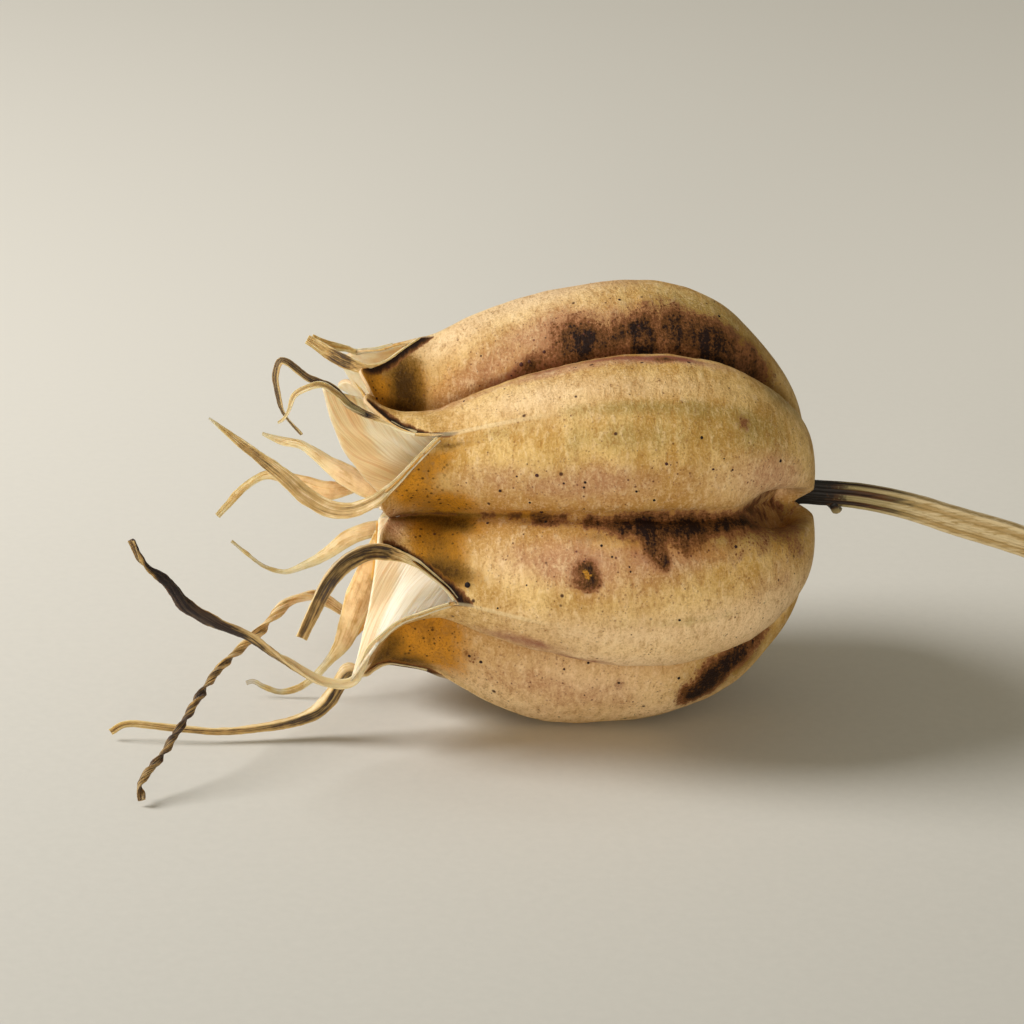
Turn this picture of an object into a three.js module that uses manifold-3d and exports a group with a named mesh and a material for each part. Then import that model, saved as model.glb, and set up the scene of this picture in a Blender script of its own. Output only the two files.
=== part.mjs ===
// Nigella seed pod: a dried, inflated capsule of six joined carpels that lies on its side, with its
// split mouth, pale partitions, twelve dried half-styles and a length of ribbed stem.
// Millimetres, +Z up. The pod lies on z = 0 with its mouth towards -X and its stem towards +X.
import * as THREE from "three";
import Module from "manifold-3d";

// The capsule's own axis runs along X. "s" is the distance from its base plane towards the mouth.
const BASE_X = 4.15;
const AXIS_Y = 0.9;
const AXIS_Z = 11.9;

// Papery wall
const WALL = 0.7;
const COLUMNS_PER_LOBE = 14;
const ROWS = 19;
const BELLY_LONG = 21.5;
const HORN_PHASE = 0.65;
const RIM_DIP = 0.7;
const LOBE_ROUNDNESS = 2.1;

// Profile along the top of a lobe, from the recess round the stem to the mouth: [s, radius]
const CREST = [
  [1.2, 0],
  [0.8, 0.9],
  [0.25, 2.4],
  [0, 4.3],
  [0.55, 6.4],
  [2, 8.6],
  [4.7, 11.2],
  [8, 12.45],
  [11, 12.6],
  [14.5, 12.15],
  [18, 11],
  [20.5, 9.8],
  [21.5, 9.35],
  [23, 9],
  [24.5, 8.6],
  [26.5, 8.6],
];

// Depth of the furrow between two lobes, as a share of the crest's radius: [s, share]
const FURROW = [
  [-1, 0.62],
  [0, 0.66],
  [2, 0.76],
  [5, 0.8],
  [9, 0.8],
  [12, 0.79],
  [14, 0.76],
  [17.7, 0.735],
  [19.5, 0.7],
  [20.7, 0.65],
  [21.7, 0.585],
  [22.6, 0.57],
  [23.5, 0.62],
  [24.5, 0.74],
  [25.5, 0.86],
  [27, 0.9],
];

// Six carpels in order round the axis. angle: 0 faces -Y, 90 faces up. swell: share added to the belly.
// lean: share moved from the base end towards the mouth end. notch: where the split crest begins.
// gape: how the split's two edges part, [before, after] the crest; a smaller number parts later.
// The last three are for the wall between this lobe and the next: mouth, where it ends; flare, how far it
// opens there (mm); swing, how far it turns there (degrees).
const LOBES = [
  { angle: -124, swell: 0.076, lean: 0.02, notch: 21.4, gape: [0.8, 0.8], mouth: 26.2, flare: 1.2, swing: 3 },
  { angle: -68, swell: 0, lean: 0.06, notch: 21.2, gape: [0.8, 0.7], mouth: 26, flare: 2.2, swing: -10 },
  { angle: -14, swell: 0, lean: 0, notch: 20.3, gape: [0.9, 1.25], mouth: 25.1, flare: -0.2, swing: -2 },
  { angle: 44, swell: 0, lean: 0, notch: 21.6, gape: [0.9, 0.38], mouth: 25.8, flare: 0.6, swing: 0 },
  { angle: 101, swell: 0, lean: 0, notch: 21.8, gape: [1.1, 0.8], mouth: 26, flare: 0.8, swing: 4 },
  { angle: 168, swell: 0.01, lean: 0, notch: 21.4, gape: [0.8, 0.8], mouth: 26, flare: 0.7, swing: -3 },
];

// Partitions rooted in the furrows, seen in the split mouth
const PARTITION_THICK = 0.62;
const PARTITION_FROM = 15;
const PARTITION_TO = 25;
const PARTITION_INNER = 3.4;
const PARTITION_STEPS = 9;

// Half-styles: each starts on one edge of a split crest, fused to the wall, and then runs free.
// lobe and side say which edge. width is [root, tip], twist is in degrees over the length.
// free holds points [s, y, z] from the capsule's axis.
const STYLE_THICK = 0.72;
const STYLES = [
  {
    lobe: 4, side: 1, width: [1.5, 1.1], twist: 20,
    free: [[25.8, 5.1, 8], [27, 5.5, 8.5]],
  },
  {
    lobe: 4, side: -1, width: [1.6, 1.2], twist: -20,
    free: [[25.6, -0.8, 8.3], [27.2, 0.3, 9.1], [28.3, 0.7, 9.7]],
  },
  {
    lobe: 3, side: 1, width: [1.4, 0.75], twist: 15,
    free: [
      [25.4, -4.7, 6.8], [27.2, -4.2, 8.2], [29, -3.6, 9.1], [30.3, -3.4, 9.6],
      [31.1, -3.5, 8.9], [30.8, -3.8, 7.7], [29.4, -4.3, 6],
    ],
  },
  {
    lobe: 3, side: -1, width: [1.7, 0.8], twist: 25,
    free: [[25.2, -8, 3.1], [26.5, -7.4, 2.3], [28.5, -6.2, 2.3], [30.5, -5.2, 3.8], [34.1, -3.8, 6.4]],
  },
  {
    lobe: 2, side: 1, width: [1.5, 1], twist: 10,
    free: [[25.3, -9.1, 0.8], [26.6, -9.9, 0.8], [27.7, -10.2, -0.3], [28.6, -10.5, -1.6], [29.7, -11, -3.6]],
  },
  {
    lobe: 2, side: -1, width: [1.6, 0.8], twist: 200,
    free: [
      [25.4, -7.5, -6.5], [26.8, -8.6, -7.3], [28.9, -9, -6.5], [31.1, -10.1, -4.9], [33.3, -11.2, -3],
      [35.6, -12.3, -1.2], [37.1, -13.2, 0.9], [38.7, -13.6, 2.4], [38.9, -13.3, 3.4],
    ],
  },
  {
    lobe: 1, side: 1, width: [1.5, 0.75], twist: 40,
    free: [
      [25.6, -5.2, -7.4], [27.1, -5, -9.1], [28.2, -5.4, -10.2], [30.4, -5.5, -11], [33.4, -5.6, -11.3],
      [36.9, -5.2, -11.4], [39.6, -4.9, -11.6],
    ],
  },
  {
    lobe: 1, side: -1, width: [1.5, 0.7], twist: -30,
    free: [[25.6, 0.4, -8.9], [26.8, 0.5, -9.5], [28.5, 0.1, -11], [30.3, 0.4, -11.4], [31.6, 0.7, -11]],
  },
  {
    lobe: 0, side: 1, width: [1.5, 0.8], twist: 220,
    free: [
      [25, 2.3, -7.2], [26.1, 2.5, -6.6], [27.9, 2.3, -6.4], [30.4, -0.1, -6.9], [32.4, -3.7, -7.2],
      [34.3, -6.8, -7.9], [35.7, -9.5, -9.3], [37.5, -11.9, -10.8], [38.3, -14.2, -11.55],
    ],
  },
  {
    lobe: 0, side: -1, width: [1.5, 0.7], twist: 30,
    free: [[24.8, 7.5, -4.2], [26.7, 7.3, -5.8], [28.6, 7.3, -6.7], [30.5, 7.7, -6.4], [32.1, 8.4, -5]],
  },
  {
    lobe: 5, side: 1, width: [1.5, 0.8], twist: -25,
    free: [[25.2, 8.3, -2], [27.1, 8.8, -1.7], [29.9, 9.4, -1.4], [31.9, 9.2, -2.9], [32.9, 9, -3.8]],
  },
  {
    lobe: 5, side: -1, width: [1.6, 0.9], twist: 20,
    free: [[25, 7, 4.2], [26.2, 8.4, 2.4], [27.5, 9.6, 1], [30, 10.6, 0.4]],
  },
];

// Stem: centre line [s, z] from the recess to the cut end, which lies on the surface; radius at each end
const STEM_LINE = [
  [0.45, 0.3],
  [0, 0.35],
  [-1.5, 0.2],
  [-3.4, 0],
  [-6.1, -0.6],
  [-9.75, -1.8],
  [-13.1, -2.9],
  [-18.5, -5.1],
  [-24.5, -8],
  [-31, -11.2],
];
const STEM_RADIUS = [0.62, 0.88];
const STEM_RIBS = 6;
const STEM_RIB_DEPTH = 0.1;
const STEM_STEPS = 34;
const BRACT_AT = -1.9;
const BRACT_LONG = 1.1;
const BRACT_WIDE = 0.75;

const STRAW = 0xcdb98f;
const STALK = 0x9a8a5e;

const solids = await Module();
solids.setup();

const radians = THREE.MathUtils.degToRad;
const smooth = THREE.MathUtils.smoothstep;

// A point of the part from the capsule's own measures
function place(s, y, z) {
  return new THREE.Vector3(BASE_X - s, AXIS_Y + y, AXIS_Z + z);
}

// Straight-line reading of a table of [x, value]
function reading(table, x) {
  let i = 1;
  while (i < table.length - 1 && table[i][0] < x) i += 1;
  const [x0, v0] = table[i - 1];
  const [x1, v1] = table[i];
  return THREE.MathUtils.lerp(v0, v1, THREE.MathUtils.clamp((x - x0) / (x1 - x0), 0, 1));
}

const crestCurve = new THREE.SplineCurve(CREST.map(([s, r]) => new THREE.Vector2(s, r)));
crestCurve.arcLengthDivisions = 600;

// Share of the crest curve's length at which it reaches s, on the mouth's half
function shareAt(s) {
  let low = 0.4;
  let high = 1;
  for (let i = 0; i < 30; i += 1) {
    const middle = (low + high) / 2;
    if (crestCurve.getPointAt(middle).x < s) low = middle;
    else high = middle;
  }
  return (low + high) / 2;
}

// Share of a lobe's width from its crest (0) to the furrow (1)
function phaseOf(across) {
  return 1 - Math.abs(2 * across - 1);
}

// Where the wall ends: at the notch on a crest, at the mouth between two half-styles
function rimAt(k, across) {
  const lobe = LOBES[k];
  const next = LOBES[(k + 1) % LOBES.length];
  const phase = phaseOf(across);
  if (phase >= HORN_PHASE) {
    return lobe.mouth - RIM_DIP * ((phase - HORN_PHASE) / (1 - HORN_PHASE)) ** 2;
  }
  const [notch, gape] = across < 0.5 ? [lobe.notch, lobe.gape[1]] : [next.notch, next.gape[0]];
  return notch + (lobe.mouth - notch) * (phase / HORN_PHASE) ** gape;
}

// Outer skin. k is the lobe, across runs 0..1 from its crest to the next one, share is along the crest curve.
function skin(k, across, share) {
  const lobe = LOBES[k];
  const next = LOBES[(k + 1) % LOBES.length];
  const turn = (((next.angle - lobe.angle) % 360) + 360) % 360;
  const phase = phaseOf(across);
  const owner = across < 0.5 ? lobe : next;
  const crest = crestCurve.getPointAt(THREE.MathUtils.clamp(share, 0, 1));
  const s = crest.x;
  const belly = Math.sin(Math.PI * THREE.MathUtils.clamp(s / BELLY_LONG, 0, 1));
  const grow = belly * (owner.swell - owner.lean * Math.cos((Math.PI * s) / BELLY_LONG)) * (1 - phase ** 2);
  const furrow = 1 - (1 - reading(FURROW, s)) * phase ** LOBE_ROUNDNESS;
  const open = smooth(s, 21, 26.5);
  const radius = crest.y * (1 + grow) * furrow + lobe.flare * open * phase ** 0.7;
  const angle = radians(lobe.angle + turn * across + lobe.swing * open * phase);
  return place(s, -radius * Math.cos(angle), radius * Math.sin(angle));
}

// Outward direction of the skin, from its neighbours
function outward(k, across, share) {
  const d = 0.004;
  const a0 = Math.max(across - d, 0);
  const a1 = Math.min(across + d, 1);
  const s0 = Math.max(share - d, 0.002);
  const s1 = Math.min(share + d, 1);
  const round = skin(k, a1, share).sub(skin(k, a0, share));
  const along = skin(k, across, s1).sub(skin(k, across, s0));
  return round.cross(along).normalize();
}

// A closed solid from points and triangles
function solid(points, triangles) {
  const at = new Float32Array(points.length * 3);
  points.forEach((p, i) => at.set([p.x, p.y, p.z], i * 3));
  const made = new solids.Manifold(
    new solids.Mesh({ numProp: 3, vertProperties: at, triVerts: new Uint32Array(triangles.flat()) }),
  );
  if (made.volume() < 0) throw new Error("a piece is inside out");
  return made;
}

// The wall: an outer skin, an inner skin one wall thickness below it, and the rim that joins them
function wall() {
  const columns = LOBES.length * COLUMNS_PER_LOBE;
  const outer = [skin(0, 0, 0)];
  const inner = [skin(0, 0, 0).add(new THREE.Vector3(-WALL, 0, 0))];
  for (let row = 1; row <= ROWS; row += 1) {
    for (let column = 0; column < columns; column += 1) {
      const k = Math.floor(column / COLUMNS_PER_LOBE);
      const across = (column % COLUMNS_PER_LOBE) / COLUMNS_PER_LOBE;
      const share = shareAt(rimAt(k, across)) * (row / ROWS) ** 0.92;
      const point = skin(k, across, share);
      outer.push(point);
      const lean = outward(k, across, share);
      if (across === 0) lean.add(outward((k + LOBES.length - 1) % LOBES.length, 1, share)).normalize();
      inner.push(point.clone().addScaledVector(lean, -WALL));
    }
  }
  const shift = outer.length;
  const triangles = [];
  const id = (row, column) => 1 + (row - 1) * columns + (column % columns);
  for (let column = 0; column < columns; column += 1) {
    triangles.push([0, id(1, column + 1), id(1, column)]);
    triangles.push([shift, shift + id(1, column), shift + id(1, column + 1)]);
    for (let row = 1; row < ROWS; row += 1) {
      const a = id(row, column);
      const b = id(row, column + 1);
      const c = id(row + 1, column);
      const d = id(row + 1, column + 1);
      triangles.push([a, b, d], [a, d, c]);
      triangles.push([shift + a, shift + d, shift + b], [shift + a, shift + c, shift + d]);
    }
    const a = id(ROWS, column);
    const b = id(ROWS, column + 1);
    triangles.push([a, b, shift + b], [a, shift + b, shift + a]);
  }
  return solid([...outer, ...inner], triangles);
}

// A closed strip of four-sided stations: each station is [lower left, lower right, upper right, upper left]
function strip(stations) {
  const sides = stations[0].length;
  const triangles = [];
  for (let i = 1; i < stations.length; i += 1) {
    for (let j = 0; j < sides; j += 1) {
      const a = (i - 1) * sides + j;
      const b = (i - 1) * sides + ((j + 1) % sides);
      triangles.push([a, b, b + sides], [a, b + sides, a + sides]);
    }
  }
  const last = (stations.length - 1) * sides;
  for (let j = 1; j < sides - 1; j += 1) {
    triangles.push([0, j + 1, j], [last, last + j, last + j + 1]);
  }
  return solid(stations.flat(), triangles);
}

// One partition: a thin radial sheet from the middle of the wall in a furrow towards the axis
function partition(k) {
  const stations = [];
  for (let i = 0; i <= PARTITION_STEPS; i += 1) {
    const along = i / PARTITION_STEPS;
    const s = THREE.MathUtils.lerp(PARTITION_FROM, PARTITION_TO - 0.3, along);
    const share = shareAt(s);
    const root = skin(k, 0.5, share).addScaledVector(outward(k, 0.5, share), -WALL / 2);
    const out = new THREE.Vector3(0, root.y - AXIS_Y, root.z - AXIS_Z).normalize();
    const reach = i === 0 ? 1.2 : 0;
    const margin = place(s + 0.5 * along, 0, 0).addScaledVector(out, PARTITION_INNER + reach);
    const sideways = new THREE.Vector3(1, 0, 0).cross(out).multiplyScalar(PARTITION_THICK / 2);
    stations.push([
      margin.clone().sub(sideways),
      margin.clone().add(sideways),
      root.clone().add(sideways),
      root.clone().sub(sideways),
    ]);
  }
  return strip(stations);
}

// One half-style: a flat ribbon that begins on an edge of a split crest and then follows its own curve
function halfStyle({ lobe, side, width, twist, free }) {
  const k = side > 0 ? lobe : (lobe + LOBES.length - 1) % LOBES.length;
  const onEdge = (phase) => {
    const across = side > 0 ? phase / 2 : 1 - phase / 2;
    const share = shareAt(rimAt(k, across) - 0.25);
    return skin(k, across, share).addScaledVector(outward(k, across, share), -WALL * 0.4);
  };
  const path = new THREE.CatmullRomCurve3(
    [onEdge(0.14), onEdge(0.28), onEdge(0.44), ...free.map((p) => place(...p))],
    false,
    "centripetal",
  );
  path.arcLengthDivisions = 400;
  const steps = Math.max(9, Math.round(path.getLength() / 1.25));
  const start = onEdge(0.28);
  let flat = new THREE.Vector3(0, start.y - AXIS_Y, start.z - AXIS_Z).normalize();
  const stations = [];
  for (let i = 0; i <= steps; i += 1) {
    const u = i / steps;
    const centre = path.getPointAt(u);
    const tangent = path.getTangentAt(u);
    flat.addScaledVector(tangent, -flat.dot(tangent)).normalize();
    const normal = flat.clone().applyAxisAngle(tangent, radians(twist) * u);
    const sideways = normal.clone().cross(tangent);
    const half = THREE.MathUtils.lerp(width[0], width[1], u ** 1.3) / 2;
    const thick = (STYLE_THICK / 2) * (1 - 0.12 * u);
    const section = [[-1, 0], [-0.55, -1], [0.55, -1], [1, 0], [0.55, 1], [-0.55, 1]];
    stations.push(
      section.map(([across, up]) =>
        centre.clone().addScaledVector(sideways, half * across).addScaledVector(normal, thick * up),
      ),
    );
  }
  return strip(stations);
}

// The stem: a ribbed stalk along its curve, with a small dried bract on its underside
function stalk() {
  const path = new THREE.CatmullRomCurve3(
    STEM_LINE.map(([s, z]) => place(s, 0, z)),
    false,
    "centripetal",
  );
  const sides = STEM_RIBS * 2;
  const across = new THREE.Vector3(0, 1, 0);
  const stations = [];
  for (let i = 0; i <= STEM_STEPS; i += 1) {
    const u = i / STEM_STEPS;
    const centre = path.getPointAt(u);
    const up = path.getTangentAt(u).cross(across).normalize();
    const radius = THREE.MathUtils.lerp(STEM_RADIUS[0], STEM_RADIUS[1], smooth(u, 0, 0.45));
    const ring = [];
    for (let j = 0; j < sides; j += 1) {
      const turn = (2 * Math.PI * j) / sides;
      const reach = radius * (j % 2 ? 1 - STEM_RIB_DEPTH : 1);
      ring.push(
        centre.clone().addScaledVector(across, reach * Math.cos(turn)).addScaledVector(up, reach * Math.sin(turn)),
      );
    }
    stations.push(ring);
  }
  const bract = [0, 0.5, 1].map((u) => {
    const centre = place(BRACT_AT - u * BRACT_LONG * 0.6, 0, -0.25 - u * BRACT_LONG * 0.75);
    const half = (BRACT_WIDE / 2) * (1 - 0.45 * u);
    return [[-1, -1], [1, -1], [1, 1], [-1, 1]].map(([y, x]) =>
      centre.clone().add(new THREE.Vector3(0.32 * x, half * y, 0)),
    );
  });
  return solids.Manifold.union([strip(stations), strip(bract)]);
}

// Join the pieces, and flatten what would reach below the surface that the pod lies on
function joined(pieces) {
  return solids.Manifold.union(pieces).trimByPlane([0, 0, 1], 0);
}

// A named mesh from a solid
function mesh(name, made, colour) {
  const { numProp, vertProperties, triVerts } = made.getMesh();
  const at = new Float32Array((vertProperties.length / numProp) * 3);
  for (let i = 0; i < at.length / 3; i += 1) {
    at.set(vertProperties.subarray(i * numProp, i * numProp + 3), i * 3);
  }
  const geometry = new THREE.BufferGeometry();
  geometry.setAttribute("position", new THREE.BufferAttribute(at, 3));
  geometry.setIndex(new THREE.BufferAttribute(new Uint32Array(triVerts), 1));
  geometry.computeVertexNormals();
  const made3d = new THREE.Mesh(
    geometry,
    new THREE.MeshStandardMaterial({ color: colour, roughness: 0.75, flatShading: true }),
  );
  made3d.name = name;
  return made3d;
}

const pod = new THREE.Group();
pod.name = "nigella_seed_pod";
const capsule = joined([wall(), ...LOBES.map((_, k) => partition(k)), ...STYLES.map(halfStyle)]);
pod.add(mesh("capsule", capsule, STRAW));
pod.add(mesh("stem", joined([stalk()]), STALK));

export default pod;
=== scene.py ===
# %% [markdown]
# # A dried nigella seed pod
# The pod lies on its side on a pale table. Six carpels have grown together into one inflated, papery
# capsule. It has split open at the mouth, on the left, where pale partitions and curled dry styles show.
# A ribbed stem leaves it on the right. Sizes below are in millimetres, and MM turns them into metres.

# %% Load the fixed frame
import math
from collections import namedtuple

import bmesh
import bpy
import numpy as np
from mathutils import Matrix, Vector


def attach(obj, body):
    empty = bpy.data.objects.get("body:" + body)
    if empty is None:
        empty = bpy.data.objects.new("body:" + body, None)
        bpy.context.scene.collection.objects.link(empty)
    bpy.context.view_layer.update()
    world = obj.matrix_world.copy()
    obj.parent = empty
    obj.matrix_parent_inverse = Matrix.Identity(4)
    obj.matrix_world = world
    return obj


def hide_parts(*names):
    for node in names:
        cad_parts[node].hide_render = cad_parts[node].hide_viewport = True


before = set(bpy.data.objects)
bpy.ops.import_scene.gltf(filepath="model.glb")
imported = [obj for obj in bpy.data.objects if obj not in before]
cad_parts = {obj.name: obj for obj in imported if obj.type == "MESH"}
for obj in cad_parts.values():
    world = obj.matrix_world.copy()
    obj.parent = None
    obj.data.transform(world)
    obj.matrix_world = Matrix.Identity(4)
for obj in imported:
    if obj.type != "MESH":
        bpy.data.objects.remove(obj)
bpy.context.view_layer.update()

MM = 0.001

# %% [markdown]
# ## Camera
# A long lens close to a small object gives the flat, gentle perspective of the photograph. The camera is
# set by an azimuth and an elevation round a point inside the capsule, then rolled a little. It aims beside
# that point, so that the stem can run out of the picture on the right. The capsule's axis lies along X and
# starts at its base, where the stem enters. Places on the pod are measured from there.

# %% Camera
BASE_X = 4.15
AXIS_Y = 0.9
AXIS_Z = 11.9
LOOK_ALONG = 10.9
LOOK_AT = Vector((BASE_X - LOOK_ALONG, AXIS_Y, AXIS_Z)) * MM
LOOK_BESIDE = (-5.71 * MM, -0.657 * MM)
CAMERA_AZIMUTH = math.radians(-10)
CAMERA_ELEVATION = math.radians(20)
CAMERA_ROLL = math.radians(2.3)
CAMERA_AWAY = 230 * MM
CLIP_START = 10 * MM
SENSOR = 36
LENS = 141.5


def camera_axes(azimuth, elevation, roll):
    """Right, up and backward directions of a camera that looks at the object."""
    back = Vector((
        math.sin(azimuth) * math.cos(elevation),
        -math.cos(azimuth) * math.cos(elevation),
        math.sin(elevation),
    ))
    level = Vector((math.cos(azimuth), math.sin(azimuth), 0))
    upright = back.cross(level)
    right = level * math.cos(roll) + upright * math.sin(roll)
    return right, back.cross(right), back


def add_camera():
    right, up, back = camera_axes(CAMERA_AZIMUTH, CAMERA_ELEVATION, CAMERA_ROLL)
    eye = LOOK_AT + back * CAMERA_AWAY
    aim = LOOK_AT + right * LOOK_BESIDE[0] + up * LOOK_BESIDE[1]
    back = (eye - aim).normalized()
    right = up.cross(back).normalized()
    data = bpy.data.cameras.new("camera")
    data.lens = LENS
    data.sensor_width = SENSOR
    data.clip_start = CLIP_START
    camera = bpy.data.objects.new("camera", data)
    turn = Matrix((right, back.cross(right), back)).transposed().to_4x4()
    camera.matrix_world = Matrix.Translation(eye) @ turn
    bpy.context.scene.collection.objects.link(camera)
    bpy.context.scene.camera = camera
    return camera


print("camera", [round(v / MM, 1) for v in add_camera().location])

# %% [markdown]
# ## Light
# The photograph has one soft light from behind on the left, near enough that the table grows darker
# towards the right and the front. A large area lamp does that, and the table's colour is painted darker
# towards the front too, a painted falloff of the light. A weak, low lamp far in front stands for a
# reflector, so the near sides of the lobes keep their colour, and a dim, even world light fills the shadows.

# %% Light
KEY_PLACE = Vector((-272, 42, 235)) * MM
KEY_SIZE = 200 * MM
KEY_POWER = 1.32
KEY_COLOUR = (1.0, 0.98, 0.97)
FRONT_PLACE = Vector((-220, -900, 70)) * MM
FRONT_SIZE = 320 * MM
FRONT_POWER = 5.4
FRONT_COLOUR = (1.0, 0.93, 0.80)
FILL_COLOUR = (1.0, 0.93, 0.74)
FILL_STRENGTH = 0.27


def add_lamp(name, place, size, power, colour):
    data = bpy.data.lights.new(name, "AREA")
    data.shape = "DISK"
    data.size = size
    data.energy = power
    data.color = colour
    lamp = bpy.data.objects.new(name, data)
    lamp.location = place
    lamp.rotation_euler = (place - LOOK_AT).to_track_quat("Z", "Y").to_euler()
    bpy.context.scene.collection.objects.link(lamp)


def add_light():
    add_lamp("window_light", KEY_PLACE, KEY_SIZE, KEY_POWER, KEY_COLOUR)
    add_lamp("front_reflector", FRONT_PLACE, FRONT_SIZE, FRONT_POWER, FRONT_COLOUR)
    world = bpy.data.worlds.new("even_fill")
    world.use_nodes = True
    background = world.node_tree.nodes["Background"]
    background.inputs["Color"].default_value = (*FILL_COLOUR, 1)
    background.inputs["Strength"].default_value = FILL_STRENGTH
    bpy.context.scene.world = world
    bpy.context.scene.view_settings.view_transform = "Standard"


add_light()
print("lamps of", KEY_POWER, "and", FRONT_POWER, "watts")

# %% [markdown]
# ## Writing node trees as sums
# Both the shapes and the finishes below are node trees. Linking every Math node by hand hides the rule
# behind the wiring, so a Wire stands for one value in a tree, and sums on wires lay the Math nodes. A Board
# lays all other nodes. The same two classes serve geometry trees, shader groups and materials.

# %% Wires
class Wire:
    """One value in a node tree."""

    def __init__(self, board, socket):
        self.board = board
        self.socket = socket

    def __add__(self, other):
        return self.board.math("ADD", self, other)

    def __sub__(self, other):
        return self.board.math("SUBTRACT", self, other)

    def __rsub__(self, other):
        return self.board.math("SUBTRACT", other, self)

    def __mul__(self, other):
        return self.board.math("MULTIPLY", self, other)

    def __truediv__(self, other):
        return self.board.math("DIVIDE", self, other)

    def __pow__(self, power):
        return self.board.math("POWER", self, power)

    __radd__ = __add__
    __rmul__ = __mul__


print("a wire can be added to, subtracted from, multiplied, divided and raised")


# %% Boards
class Board:
    """Lays nodes on a tree and feeds their sockets. A colour is written as red, green and blue."""

    def __init__(self, tree):
        self.tree = tree

    def feed(self, socket, value):
        if isinstance(value, Wire):
            self.tree.links.new(value.socket, socket)
        elif socket.type == "RGBA":
            socket.default_value = (*value, 1)
        else:
            socket.default_value = value

    def add(self, kind, feeds=None, **settings):
        node = self.tree.nodes.new(kind)
        for name, value in settings.items():
            setattr(node, name, value)
        for name, value in (feeds or {}).items():
            self.feed(node.inputs[name], value)
        return node

    def get(self, kind, feeds=None, output=0, **settings):
        return Wire(self, self.add(kind, feeds, **settings).outputs[output])

    def math(self, operation, *values):
        return self.get("ShaderNodeMath", dict(enumerate(values)), operation=operation)

    def least(self, a, b):
        return self.math("MINIMUM", a, b)

    def most(self, a, b):
        return self.math("MAXIMUM", a, b)

    def rise(self, value, low, high):
        """0 below low, 1 above high, and a smooth step between them."""
        feeds = {"Value": value, "From Min": low, "From Max": high}
        return self.get("ShaderNodeMapRange", feeds, interpolation_type="SMOOTHSTEP")

    def scale(self, value, from_low, from_high, to_low, to_high):
        feeds = {"Value": value, "From Min": from_low, "From Max": from_high}
        feeds.update({"To Min": to_low, "To Max": to_high})
        return self.get("ShaderNodeMapRange", feeds, clamp=True)

    def vector(self, x=0.0, y=0.0, z=0.0):
        return self.get("ShaderNodeCombineXYZ", {"X": x, "Y": y, "Z": z})

    def parts(self, vector):
        node = self.add("ShaderNodeSeparateXYZ", {0: vector})
        return [Wire(self, socket) for socket in node.outputs]

    def unit(self, vector):
        return self.get("ShaderNodeVectorMath", {0: vector}, operation="NORMALIZE")

    def length(self, vector):
        return self.get("ShaderNodeVectorMath", {0: vector}, "Value", operation="LENGTH")

    def stretch(self, vector, factor):
        return self.get("ShaderNodeVectorMath", {0: vector, "Scale": factor}, operation="SCALE")

    def noise(self, place, scale, detail=2.0, roughness=0.5):
        feeds = {"Vector": place, "Scale": scale, "Detail": detail, "Roughness": roughness}
        return self.get("ShaderNodeTexNoise", feeds)

    def blend(self, share, below, above):
        """A colour between two, by share."""
        return self.get("ShaderNodeMix", {0: share, 6: below, 7: above}, 2, data_type="RGBA")


def swing(pattern, by):
    """A noise, which lies about one half, as a push up or down."""
    return (pattern - 0.5) * by


def open_group(name, kind, inputs, outputs):
    """A new node group with named sockets: its board, its input wires and its output node."""
    tree = bpy.data.node_groups.new(name, kind)
    for label, (sort, value) in inputs.items():
        socket = tree.interface.new_socket(name=label, in_out="INPUT", socket_type="NodeSocket" + sort)
        if value is not None:
            socket.default_value = (*value, 1) if sort == "Color" else value
    for label, sort in outputs.items():
        tree.interface.new_socket(name=label, in_out="OUTPUT", socket_type="NodeSocket" + sort)
    board = Board(tree)
    source = tree.nodes.new("NodeGroupInput")
    given = {label: Wire(board, source.outputs[label]) for label in inputs}
    return board, given, tree.nodes.new("NodeGroupOutput")


print("a board lays", [word for word in vars(Board) if not word.startswith("_")])

# %% [markdown]
# ## Shared effects
# Dried plant skin is never one colour. Four small effects are used by several finishes: a place in
# millimetres measured along and round the pod, pinprick specks, long fibres, and a ladder of stain colours
# that goes from straw through brown to nearly black. Each is a shader group, so every finish can place it
# with its own values.

# %% Shader groups
def pod_place_group():
    """Where a point is: in mm, along the axis from the base, and as a direction round the axis."""
    outputs = {"Millimetres": "Vector", "Along": "Float", "Round": "Vector"}
    board, _, sink = open_group("pod_place", "ShaderNodeTree", {}, outputs)
    spot = board.stretch(board.get("ShaderNodeTexCoord", output="Object"), 1 / MM)
    x, y, z = board.parts(spot)
    board.feed(sink.inputs["Millimetres"], spot)
    board.feed(sink.inputs["Along"], BASE_X - x)
    board.feed(sink.inputs["Round"], board.unit(board.vector(0.0, y - AXIS_Y, z - AXIS_Z)))
    return board.tree


def specks_group():
    """Pinprick dots: a few cells of a Voronoi pattern keep a dot, each of its own size."""
    inputs = {
        "Place": ("Vector", None),
        "Spacing": ("Float", 1.0),
        "Size": ("Float", 0.12),
        "Share": ("Float", 0.5),
    }
    board, given, sink = open_group("specks", "ShaderNodeTree", inputs, {"Mask": "Float"})
    cells = board.add("ShaderNodeTexVoronoi", {"Vector": given["Place"]})
    board.feed(cells.inputs["Scale"], board.math("DIVIDE", 1.0, given["Spacing"]))
    near = Wire(board, cells.outputs["Distance"]) * given["Spacing"]
    draw, size_draw, _ = board.parts(Wire(board, cells.outputs["Color"]))
    radius = given["Size"] * (size_draw * 0.9 + 0.35)
    dot = 1 - board.rise(near, radius * 0.45, radius)
    kept = board.math("LESS_THAN", draw, given["Share"])
    board.feed(sink.inputs["Mask"], dot * kept)
    return board.tree


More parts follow.
